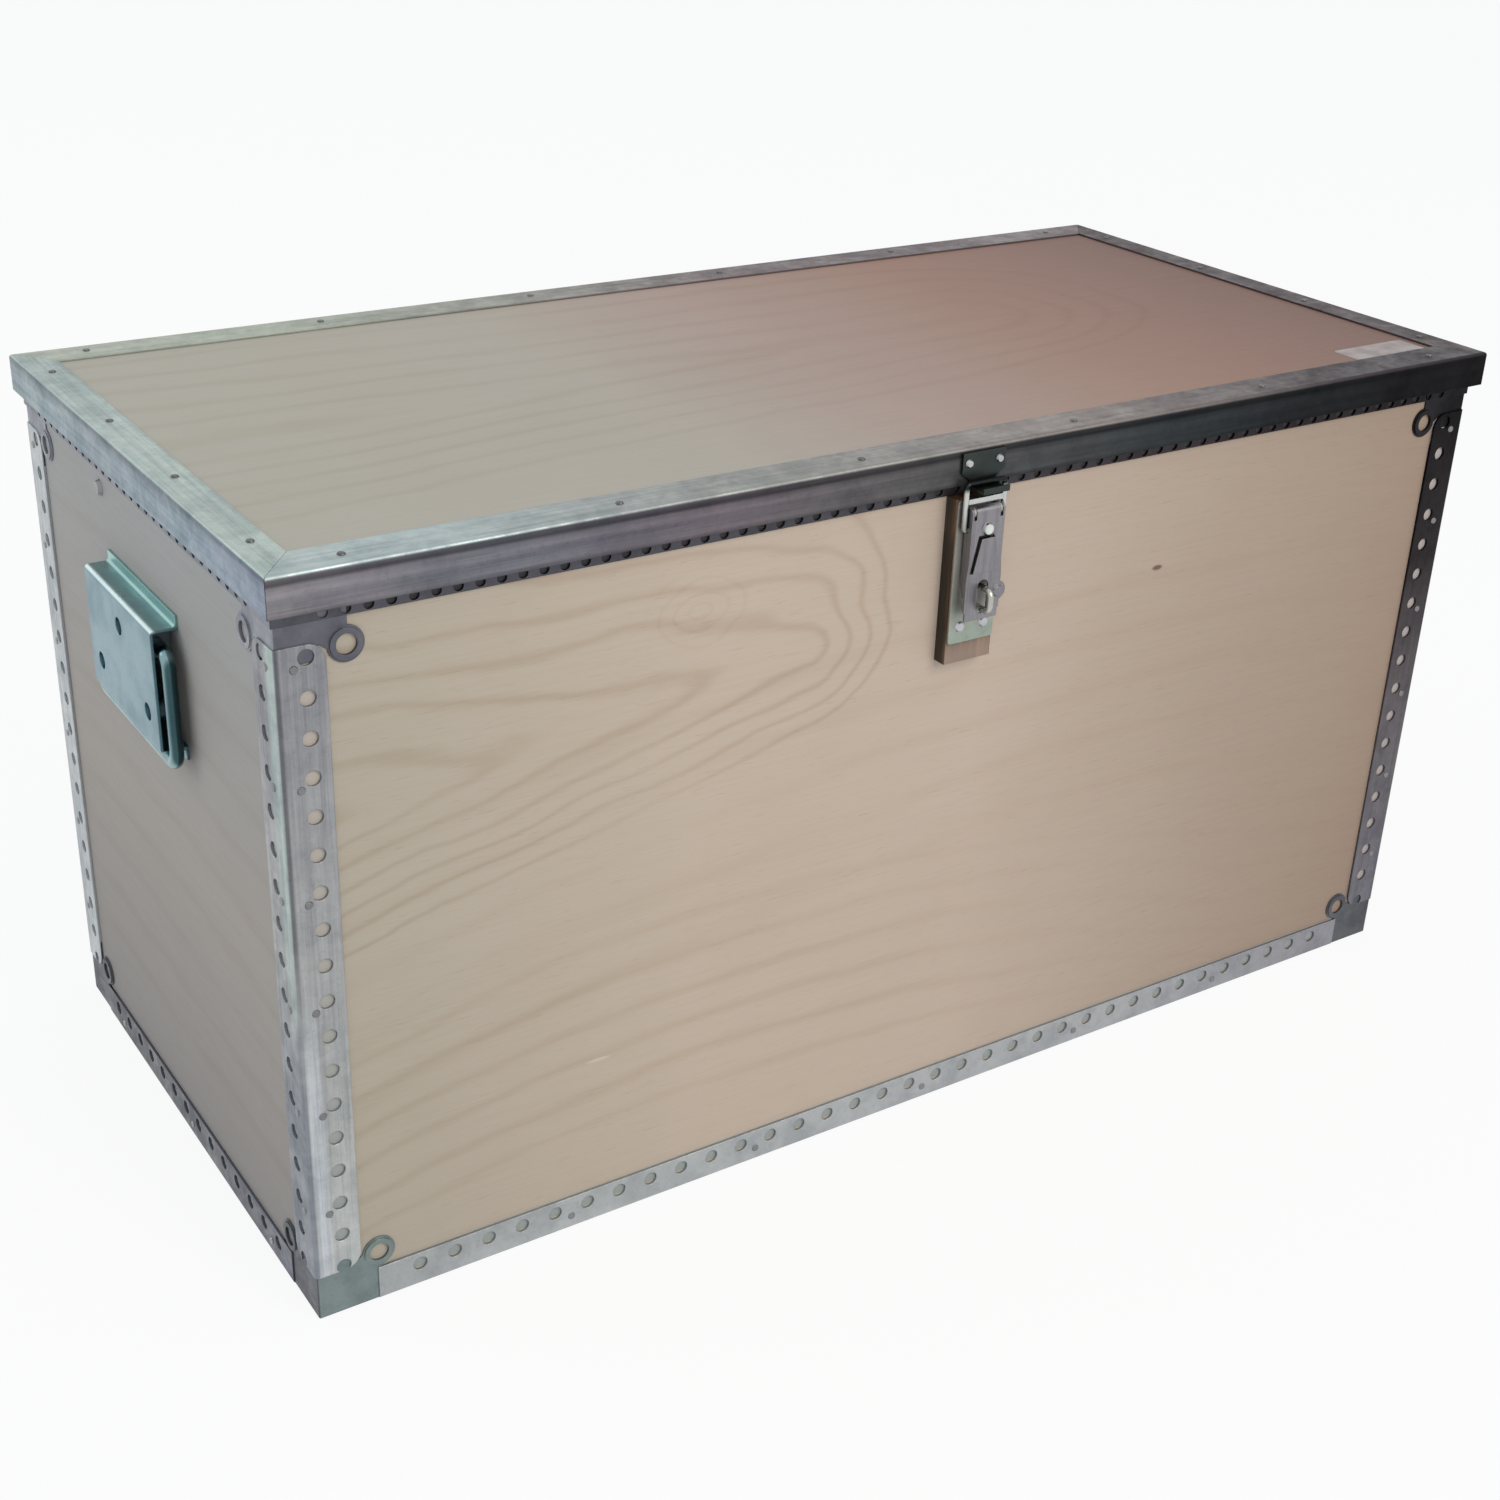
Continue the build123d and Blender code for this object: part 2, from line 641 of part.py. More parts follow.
BODY_LEAF_TOP = HINGE_AXIS_Z - KNUCKLE_R - KNUCKLE_CLEAR
LID_LEAF_LOW = HINGE_AXIS_Z + KNUCKLE_R + KNUCKLE_CLEAR
for side, hinge_x in (("left", -HINGE_X), ("right", HINGE_X)):
    packer_x = (hinge_x - HINGE_PACKER_HALF, hinge_x + HINGE_PACKER_HALF)
    packer = slab(packer_x, (PLY_Y, LID_Y), HINGE_PACKER_Z)
    save(packer, f"{side}_hinge_packer")
    body_leaf = hinge_leaf(
        hinge_x, (HINGE_LEAF_LOW, BODY_LEAF_TOP), BODY_KNUCKLES, HINGE_PIN_R, BODY_LEAF_SCREWS
    )
    save(body_leaf, f"{side}_hinge_body_leaf")
    lid_leaf = hinge_leaf(
        hinge_x, (LID_LEAF_LOW, HINGE_LEAF_HIGH), LID_KNUCKLES, HINGE_PIN_R + RUNNING, LID_LEAF_SCREWS
    )
    save(lid_leaf, f"{side}_hinge_lid_leaf")

with BuildPart() as hinge_pins:
    for hinge_x in (-HINGE_X, HINGE_X):
        with BuildSketch(Plane.YZ.offset(hinge_x - HINGE_HALF)):
            with Locations((HINGE_AXIS_Y, HINGE_AXIS_Z)):
                Circle(HINGE_PIN_R)
        extrude(amount=2 * HINGE_HALF)
save(hinge_pins.part, "hinge_pins")


def hinge_screws(points, length):
    """Flat-headed screws through both hinges' leaves."""
    spots = [(x + dx, z) for x in (-HINGE_X, HINGE_X) for dx, z in points]
    with BuildPart() as screws:
        with BuildSketch(Plane.XZ.offset(-LID_Y - HINGE_LEAF_T)):
            with Locations(spots):
                Circle(HINGE_SCREW_HEAD_R)
        extrude(amount=-HINGE_SCREW_HEAD_H, taper=35)
        with BuildSketch(Plane.XZ.offset(-LID_Y - HINGE_LEAF_T)):
            with Locations(spots):
                Circle(HINGE_SCREW_R)
        extrude(amount=length)
    return screws.part


save(hinge_screws(BODY_LEAF_SCREWS, HINGE_BODY_SCREW_LENGTH), "hinge_body_screws")
save(hinge_screws(LID_LEAF_SCREWS, HINGE_LID_SCREW_LENGTH), "hinge_lid_screws")

# ---------------------------------------------------------------- handles

DIMPLES = ((0.0, 322.0), (-36.0, 289.0), (36.0, 289.0))
DIMPLE_R = 6.0
DIMPLE_CUP_R = 4.8
DIMPLE_TAPER = 6
HANDLE_SCREW_R = 1.7
HANDLE_SCREW_HEAD_R = 3.0
HANDLE_SCREW_HEAD_H = 1.5
HANDLE_SCREW_LENGTH = 9.5
HANDLE_EDGE_R = 2.4
HANDLE_ROOT_R = 2.0
BEARING_Y = (22.0, 38.0)
BEARING_Z = (318.0, 336.5)


def handle_plate(outward):
    """A pressed hat section: a raised face, two narrow flanges on the wall, and three dimples for screws."""
    low, high = HANDLE_FACE
    inner = HANDLE_DEPTH - HANDLE_SHEET
    middle = (low + high) / 2
    with BuildPart() as plate:
        with BuildSketch(section_plane(outward, PLY_X)):
            with Locations((HANDLE_DEPTH / 2, middle)):
                Rectangle(HANDLE_DEPTH, high - low)
            with Locations((inner / 2 - 1, middle)):
                Rectangle(inner + 2, high - low - 2 * HANDLE_SHEET, mode=Mode.SUBTRACT)
            with Locations(
                (HANDLE_SHEET / 2, low - HANDLE_FLANGE / 2), (HANDLE_SHEET / 2, high + HANDLE_FLANGE / 2)
            ):
                Rectangle(HANDLE_SHEET, HANDLE_FLANGE)
        extrude(amount=HANDLE_HALF, both=True)
        for z in (low, high):
            long_edges = plate.edges().filter_by(Axis.Y)
            bend = outward * (PLY_X + HANDLE_DEPTH) + UP * z
            fillet(long_edges.sort_by_distance(bend)[0], radius=HANDLE_EDGE_R)
            long_edges = plate.edges().filter_by(Axis.Y)
            root = outward * (PLY_X + HANDLE_SHEET) + UP * z
            fillet(long_edges.sort_by_distance(root)[0], radius=HANDLE_ROOT_R)
        with BuildSketch(face_plane(outward, PLY_X + inner)):
            with Locations(DIMPLES):
                Circle(DIMPLE_R)
        extrude(amount=-inner, taper=DIMPLE_TAPER)
        with BuildSketch(face_plane(outward, PLY_X + HANDLE_DEPTH)):
            with Locations(DIMPLES):
                Circle(DIMPLE_CUP_R)
        extrude(amount=-inner, taper=DIMPLE_TAPER, mode=Mode.SUBTRACT)
        with BuildSketch(face_plane(outward, PLY_X - 1)):
            with Locations(DIMPLES):
                Circle(HANDLE_SCREW_R)
        extrude(amount=HANDLE_SHEET + 2, mode=Mode.SUBTRACT)
    return plate.part


def bail(outward):
    """A round steel bail: a stub in each bearing, an arm at each end of the plate, and the level grip."""
    axis_out = PLY_X + BAIL_AXIS_OUT
    corners = [
        (-BAIL_STUB, BAIL_AXIS_Z),
        (-BAIL_ARM, BAIL_AXIS_Z),
        (-BAIL_ARM, BAIL_GRIP_Z),
        (BAIL_ARM, BAIL_GRIP_Z),
        (BAIL_ARM, BAIL_AXIS_Z),
        (BAIL_STUB, BAIL_AXIS_Z),
    ]
    with BuildPart() as rod:
        with BuildLine(face_plane(outward, axis_out)) as route:
            FilletPolyline(corners, radius=BAIL_BEND)
        with BuildSketch(Plane(origin=route.line @ 0, z_dir=route.line % 0)):
            Circle(BAIL_R)
        sweep(path=route.line)
    return rod.part


with BuildPart() as handle_bearings:
    for side in ("left", "right"):
        outward = SIDES[side][0]
        for low, high in (BEARING_Y, (-BEARING_Y[1], -BEARING_Y[0])):
            with BuildSketch(section_plane(outward, PLY_X, low)):
                with Locations(((HANDLE_DEPTH - HANDLE_SHEET) / 2, sum(BEARING_Z) / 2)):
                    Rectangle(HANDLE_DEPTH - HANDLE_SHEET, BEARING_Z[1] - BEARING_Z[0])
                with Locations((BAIL_AXIS_OUT, BAIL_AXIS_Z)):
                    Circle(BAIL_R + RUNNING, mode=Mode.SUBTRACT)
            extrude(amount=high - low)
save(handle_bearings.part, "handle_bearings")

with BuildPart() as handle_screws:
    for side in ("left", "right"):
        outward = SIDES[side][0]
        with BuildSketch(face_plane(outward, PLY_X + HANDLE_SHEET)):
            with Locations(DIMPLES):
                Circle(HANDLE_SCREW_HEAD_R)
        extrude(amount=HANDLE_SCREW_HEAD_H, taper=25)
        with BuildSketch(face_plane(outward, PLY_X + HANDLE_SHEET)):
            with Locations(DIMPLES):
                Circle(HANDLE_SCREW_R)
        extrude(amount=-HANDLE_SCREW_LENGTH)
save(handle_screws.part, "handle_screws")

for side in ("left", "right"):
    save(handle_plate(SIDES[side][0]), f"{side}_handle_plate")
    save(bail(SIDES[side][0]), f"{side}_handle_bail")

# ---------------------------------------------------------------- latch

FRONT = SIDES["front"][0]
PACKER_OUT = PLY_Y + PACKER_T
BASE_OUT = PACKER_OUT + BASE_T
PIVOT_Y_OUT = PLY_Y + PIVOT_OUT
BASE_CORNER_R = 2.0
EAR_X = (8.0, 9.4)
EAR_R = 2.9
LEVER_SIDE_X = (9.6, LEVER_HALF)
PIVOT_R = 1.6
LEVER_SIDE_BOTTOM = 332.0
LEVER_SIDE_IN = BASE_OUT + 1.0
LOOP_PIVOT_OUT = PIVOT_Y_OUT - LOOP_PIVOT_IN
LOOP_PIVOT_Z = PIVOT_Z - LOOP_PIVOT_DROP
LEVER_FACE_OUT = PIVOT_Y_OUT + LEVER_NOSE_R
BASE_SCREWS = ((-8.0, 314.0), (8.0, 314.0), (-4.5, 375.0), (4.5, 375.0))
BASE_SCREW_R = 1.8
BASE_SCREW_HEAD_R = 3.0
BASE_SCREW_HEAD_H = 1.2
BASE_SCREW_LENGTH = 18.0
STAPLE_ROOT = 4.0
STAPLE_BEND = 4.0

save(slab((-PACKER_HALF, PACKER_HALF), (-PACKER_OUT, -PLY_Y), PACKER_Z), "latch_packer")

with BuildPart() as latch_base:
    with BuildSketch(face_plane(FRONT, PACKER_OUT)):
        with Locations((0, sum(BASE_Z) / 2)):
            RectangleRounded(2 * BASE_HALF, BASE_Z[1] - BASE_Z[0], BASE_CORNER_R)
        with Locations(BASE_SCREWS):
            Circle(BASE_SCREW_R, mode=Mode.SUBTRACT)
        with Locations([(0, z) for z in STAPLE_Z]):
            Circle(STAPLE_R, mode=Mode.SUBTRACT)
    extrude(amount=BASE_T)
    # two ears that carry the lever's pivot
    for inner in (EAR_X[0], -EAR_X[1]):
        with BuildSketch(Plane.YZ.offset(inner)):
            with Locations((-PIVOT_Y_OUT, PIVOT_Z)):
                Circle(EAR_R)
            with Locations((-(BASE_OUT - 0.5 + PIVOT_Y_OUT) / 2, PIVOT_Z)):
                Rectangle(PIVOT_Y_OUT - BASE_OUT + 0.5, 2 * EAR_R)
            with Locations((-PIVOT_Y_OUT, PIVOT_Z)):
                Circle(PIVOT_R, mode=Mode.SUBTRACT)
        extrude(amount=EAR_X[1] - EAR_X[0])
save(latch_base.part, "latch_base")

with BuildPart() as latch_pivot_pin:
    with BuildSketch(Plane.YZ.offset(-LEVER_HALF)):
        with Locations((-PIVOT_Y_OUT, PIVOT_Z)):
            Circle(PIVOT_R)
    extrude(amount=2 * LEVER_HALF)
save(latch_pivot_pin.part, "latch_pivot_pin")

# padlock staple: a round wire hoop that stands out through the lever's slot
staple_tip = PLY_Y + STAPLE_OUT - STAPLE_R
with BuildPart() as latch_staple:
    with BuildLine(Plane.YZ) as hoop:
        FilletPolyline(
            (STAPLE_ROOT - PACKER_OUT, STAPLE_Z[0]),
            (-staple_tip, STAPLE_Z[0]),
            (-staple_tip, STAPLE_Z[1]),
            (STAPLE_ROOT - PACKER_OUT, STAPLE_Z[1]),
            radius=STAPLE_BEND,
        )
    with BuildSketch(Plane(origin=hoop.line @ 0, z_dir=hoop.line % 0)):
        Circle(STAPLE_R)
    sweep(path=hoop.line)
save(latch_staple.part, "latch_staple")

with BuildPart() as latch_screws:
    with BuildSketch(face_plane(FRONT, BASE_OUT)):
        with Locations(BASE_SCREWS):
            Circle(BASE_SCREW_HEAD_R)
    extrude(amount=BASE_SCREW_HEAD_H, taper=30)
    with BuildSketch(face_plane(FRONT, BASE_OUT)):
        with Locations(BASE_SCREWS):
            Circle(BASE_SCREW_R)
    extrude(amount=-BASE_SCREW_LENGTH)
save(latch_screws.part, "latch_screws")

SLOT_HALF = 3.6
SLOT_Z = (322.7, 342.0)
BOSS_Z = 370.6
BOSS_R = 3.6
BOSS_H = 1.6
SLIT_Z = 366.4
SLIT_W = 1.6
SLIT_HALF = 4.6
SLIT_FOOT = (-9.0, 346.5)
TONGUE_H = 0.9
TONGUE_FOOT = 8.8
TAB_HALF = 11.6
TAB_Z = (325.0, 343.0)
TAB_TOP = 352.0
TAB_TIP_HALF = 8.0
LUG = (10.0, 334.0)
LUG_R = 5.4
LUG_PIP_R = 3.4
LUG_PIP_H = 1.2
SIDE_CHAMFER = (2.0, 10.0)
NOSE_SLOT_GAP = 0.2
NOSE_EYE_R = 2.3
NOSE_45 = cos(radians(45))
NOSE_IN = LEVER_NOSE_R - LEVER_T

with BuildPart() as latch_lever:
    # rolled nose round the pivot and a flat face down from it, with two side flanges
    with BuildSketch(Plane.YZ.offset(-LEVER_HALF)):
        with BuildLine():
            Polyline(
                (-LEVER_FACE_OUT, PIVOT_Z),
                (-LEVER_FACE_OUT, LEVER_BOTTOM),
                (LEVER_T - LEVER_FACE_OUT, LEVER_BOTTOM),
                (LEVER_T - LEVER_FACE_OUT, PIVOT_Z),
            )
            ThreePointArc(
                (LEVER_T - LEVER_FACE_OUT, PIVOT_Z),
                (-PIVOT_Y_OUT - NOSE_IN * NOSE_45, PIVOT_Z + NOSE_IN * NOSE_45),
                (-PIVOT_Y_OUT, PIVOT_Z + NOSE_IN),
            )
            Line((-PIVOT_Y_OUT, PIVOT_Z + NOSE_IN), (-PIVOT_Y_OUT, PIVOT_Z + LEVER_NOSE_R))
            ThreePointArc(
                (-PIVOT_Y_OUT, PIVOT_Z + LEVER_NOSE_R),
                (-PIVOT_Y_OUT - LEVER_NOSE_R * NOSE_45, PIVOT_Z + LEVER_NOSE_R * NOSE_45),
                (-LEVER_FACE_OUT, PIVOT_Z),
            )
        make_face()
    extrude(amount=2 * LEVER_HALF)
    # two slots in the nose let the ears of the base reach the pivot
    with BuildSketch(Plane.XY.offset(PIVOT_Z - LEVER_NOSE_R - 0.5)):
        for side_x in (-1, 1):
            with Locations((side_x * (EAR_X[0] - NOSE_SLOT_GAP + LEVER_SIDE_X[0]) / 2, -PIVOT_Y_OUT)):
                Rectangle(LEVER_SIDE_X[0] - EAR_X[0] + NOSE_SLOT_GAP, 4 * LEVER_NOSE_R)
    extrude(amount=3 * LEVER_NOSE_R, mode=Mode.SUBTRACT)
    # the face widens into a finger tab at its lower end
    with BuildSketch(face_plane(FRONT, LEVER_FACE_OUT - LEVER_T)):
        with BuildLine():
            Polyline(
                (-LEVER_HALF, TAB_TOP),
                (LEVER_HALF, TAB_TOP),
                (TAB_HALF, TAB_Z[1]),
                (TAB_HALF, TAB_Z[0]),
                (TAB_TIP_HALF, LEVER_BOTTOM),
                (-TAB_TIP_HALF, LEVER_BOTTOM),
                (-TAB_HALF, TAB_Z[0]),
                (-TAB_HALF, TAB_Z[1]),
                close=True,
            )
        make_face()
        with Locations(LUG):
            Circle(LUG_R)
    extrude(amount=LEVER_T)
    for inner in (LEVER_SIDE_X[0], -LEVER_SIDE_X[1]):
        with BuildSketch(Plane.YZ.offset(inner)):
            with BuildLine():
                Polyline(
                    (-LEVER_FACE_OUT + 0.2, LEVER_SIDE_BOTTOM),
                    (-LEVER_SIDE_IN - SIDE_CHAMFER[0], LEVER_SIDE_BOTTOM),
                    (-LEVER_SIDE_IN, LEVER_SIDE_BOTTOM + SIDE_CHAMFER[1]),
                    (-LEVER_SIDE_IN, PIVOT_Z),
                    (-LEVER_FACE_OUT + 0.2, PIVOT_Z),
                    close=True,
                )
            make_face()
            with Locations((-PIVOT_Y_OUT, PIVOT_Z)):
                Circle(NOSE_EYE_R)
                Circle(PIVOT_R + RUNNING, mode=Mode.SUBTRACT)
            with Locations((-LOOP_PIVOT_OUT, LOOP_PIVOT_Z)):
                Circle(LOOP_WIRE_R + RUNNING, mode=Mode.SUBTRACT)
        extrude(amount=LEVER_SIDE_X[1] - LEVER_SIDE_X[0])
    # slot for the staple
    with BuildSketch(face_plane(FRONT, LEVER_FACE_OUT - LEVER_T - 1)):
        with Locations((0, sum(SLOT_Z) / 2)):
            SlotOverall(SLOT_Z[1] - SLOT_Z[0], 2 * SLOT_HALF, rotation=90)
    extrude(amount=LEVER_T + 2, mode=Mode.SUBTRACT)
    # raised boss, the pip on the lug, and the tongue pressed out below the boss
    with BuildSketch(face_plane(FRONT, LEVER_FACE_OUT)):
        with Locations((0, BOSS_Z)):
            Circle(BOSS_R)
    extrude(amount=BOSS_H, taper=25)
    with BuildSketch(face_plane(FRONT, LEVER_FACE_OUT)):
        with Locations(LUG):
            Circle(LUG_PIP_R)
    extrude(amount=LUG_PIP_H, taper=30)
    with BuildSketch(face_plane(FRONT, LEVER_FACE_OUT)):
        with BuildLine():
            Polyline(
                (-SLIT_HALF, SLIT_Z),
                (SLIT_HALF, SLIT_Z),
                (TONGUE_FOOT, SLIT_FOOT[1]),
                SLIT_FOOT,
                close=True,
            )
        make_face()
    extrude(amount=TONGUE_H)
    # the slit that frees the tongue runs under the boss and down its left edge
    with BuildSketch(face_plane(FRONT, LEVER_FACE_OUT - LEVER_T)):
        with BuildLine():
            Polyline(
                (SLIT_HALF, SLIT_Z + SLIT_W / 2),
                (-SLIT_HALF - SLIT_W / 2, SLIT_Z + SLIT_W / 2),
                (SLIT_FOOT[0] - SLIT_W / 2, SLIT_FOOT[1]),
                (SLIT_FOOT[0] + SLIT_W / 2, SLIT_FOOT[1]),
                (-SLIT_HALF + SLIT_W / 2, SLIT_Z - SLIT_W / 2),
                (SLIT_HALF, SLIT_Z - SLIT_W / 2),
                close=True,
            )
        make_face()
    extrude(amount=LEVER_T + TONGUE_H, mode=Mode.SUBTRACT)
save(latch_lever.part, "latch_lever")

LOOP_BEND = 1.6
STRIP_T = 1.5
STRIP_H = 3.0
STRIP_Z = 385.6
stub_end = LEVER_SIDE_X[0] + 0.1

with BuildPart() as latch_loop:
    with BuildLine(Plane.XZ.offset(LOOP_PIVOT_OUT)) as wire:
        FilletPolyline(
            (-stub_end, LOOP_PIVOT_Z),
            (-LOOP_HALF, LOOP_PIVOT_Z),
            (-LOOP_HALF, LOOP_BAR_Z),
            (LOOP_HALF, LOOP_BAR_Z),
            (LOOP_HALF, LOOP_PIVOT_Z),
            (stub_end, LOOP_PIVOT_Z),
            radius=LOOP_BEND,
        )
    with BuildSketch(Plane(origin=wire.line @ 0, z_dir=wire.line % 0)):
        Circle(LOOP_WIRE_R)
    sweep(path=wire.line)
    # flat cross strip between the two wires
    with BuildSketch(Plane.XZ.offset(LOOP_PIVOT_OUT - STRIP_T / 2)):
        with Locations((0, STRIP_Z)):
            Rectangle(2 * LOOP_HALF, STRIP_H)
    extrude(amount=STRIP_T)
save(latch_loop.part, "latch_loop")

# strike on the lid: a riveted plate that ends in a shallow hook under the loop's bar
STRIKE_T = 1.5
STRIKE_HALF = 14.0
STRIKE_TOP = 411.0
STRIKE_SHOULDER = 400.0
STRIKE_NECK = 396.0
HOOK_HALF = 8.6
HOOK_SEAT_Z = LOOP_BAR_Z - LOOP_WIRE_R - 0.3
HOOK_LIP_Z = LOOP_BAR_Z - 0.2
HOOK_OUT = LOOP_PIVOT_OUT + 9.0
STRIKE_RIVETS = ((-10.0, 405.5), (10.0, 405.5))
STRIKE_RIVET_R = 1.9
STRIKE_RIVET_HEAD_R = 2.3
STRIKE_RIVET_HEAD_H = 1.3
STRIKE_RIVET_LENGTH = 11.0

with BuildPart() as latch_strike:
    with BuildSketch(face_plane(FRONT, LID_Y)):
        with BuildLine():
            Polyline(
                (-STRIKE_HALF, STRIKE_TOP),
                (STRIKE_HALF, STRIKE_TOP),
                (STRIKE_HALF, STRIKE_SHOULDER),
                (HOOK_HALF, STRIKE_NECK),
                (HOOK_HALF, HOOK_SEAT_Z - STRIKE_T),
                (-HOOK_HALF, HOOK_SEAT_Z - STRIKE_T),
                (-HOOK_HALF, STRIKE_NECK),
                (-STRIKE_HALF, STRIKE_SHOULDER),
                close=True,
            )
        make_face()
        with Locations(STRIKE_RIVETS):
            Circle(STRIKE_RIVET_R, mode=Mode.SUBTRACT)
    extrude(amount=STRIKE_T)
    with BuildSketch(Plane.YZ.offset(-HOOK_HALF)):
        with BuildLine():
            Polyline(
                (-LID_Y - STRIKE_T + 0.2, HOOK_SEAT_Z),
                (-HOOK_OUT + STRIKE_T, HOOK_SEAT_Z),
                (-HOOK_OUT + STRIKE_T, HOOK_LIP_Z),
                (-HOOK_OUT, HOOK_LIP_Z),
                (-HOOK_OUT, HOOK_SEAT_Z - STRIKE_T),
                (-LID_Y - STRIKE_T + 0.2, HOOK_SEAT_Z - STRIKE_T),
                close=True,
            )
        make_face()
    extrude(amount=2 * HOOK_HALF)
save(latch_strike.part, "latch_strike")

with BuildPart() as strike_rivets:
    with BuildSketch(face_plane(FRONT, LID_Y + STRIKE_T)):
        with Locations(STRIKE_RIVETS):
            Circle(STRIKE_RIVET_HEAD_R)
    extrude(amount=STRIKE_RIVET_HEAD_H, taper=25)
    with BuildSketch(face_plane(FRONT, LID_Y + STRIKE_T)):
        with Locations(STRIKE_RIVETS):
            Circle(STRIKE_RIVET_R)
    extrude(amount=-STRIKE_RIVET_LENGTH)
save(strike_rivets.part, "strike_rivets")
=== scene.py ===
"""Looks for the plywood chuck box: bare plywood, galvanised angles, and a zinc-plated latch and handles.

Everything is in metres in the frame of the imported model: +X along the front, +Y to the back, +Z up.
Colours are linear. The photograph's change of tone from left to right is painted by place on the object.
"""

import math

import bmesh
import bpy
from mathutils import Matrix, Vector


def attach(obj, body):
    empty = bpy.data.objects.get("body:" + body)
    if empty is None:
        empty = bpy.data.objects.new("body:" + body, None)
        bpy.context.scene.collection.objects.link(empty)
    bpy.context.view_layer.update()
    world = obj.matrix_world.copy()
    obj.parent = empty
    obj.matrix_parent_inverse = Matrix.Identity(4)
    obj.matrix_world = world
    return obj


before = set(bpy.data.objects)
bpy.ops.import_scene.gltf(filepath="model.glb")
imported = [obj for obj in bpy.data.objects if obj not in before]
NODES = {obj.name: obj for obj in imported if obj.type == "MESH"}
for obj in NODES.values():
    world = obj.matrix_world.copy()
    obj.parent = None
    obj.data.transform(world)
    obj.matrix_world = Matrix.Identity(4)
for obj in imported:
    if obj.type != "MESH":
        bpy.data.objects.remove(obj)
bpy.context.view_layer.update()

# ------------------------------------------------------------------ planes and runs of the model

BODY_X, BODY_Y = 0.3875, 0.183
PANEL_X = 0.3859
BODY_TOP = 0.403
LID_PANEL_TOP = 0.4123
SKIRT_LOW = 0.3933

BODY_RUN = ("x", -BODY_X, BODY_X)
BODY_DEPTH = ("y", -BODY_Y, BODY_Y)
PANEL_RUN = ("x", -PANEL_X, PANEL_X)
PANEL_RISE = ("z", 0.0, BODY_TOP)
ANGLE_RISE = ("z", 0.027, 0.376)
LID_RUN = ("x", -0.391, 0.391)
LID_DEPTH = ("y", -0.19, 0.19)
LID_PANEL_RUN = ("x", -0.390, 0.390)

# ------------------------------------------------------------------ node helpers


def add_node(tree, kind, inputs=None, **settings):
    """Add a node, set its settings, and give each named input a value or a link."""
    made = tree.nodes.new(kind)
    for name, value in settings.items():
        setattr(made, name, value)
    for key, value in (inputs or {}).items():
        if isinstance(value, bpy.types.NodeSocket):
            tree.links.new(value, made.inputs[key])
        else:
            made.inputs[key].default_value = value
    return made


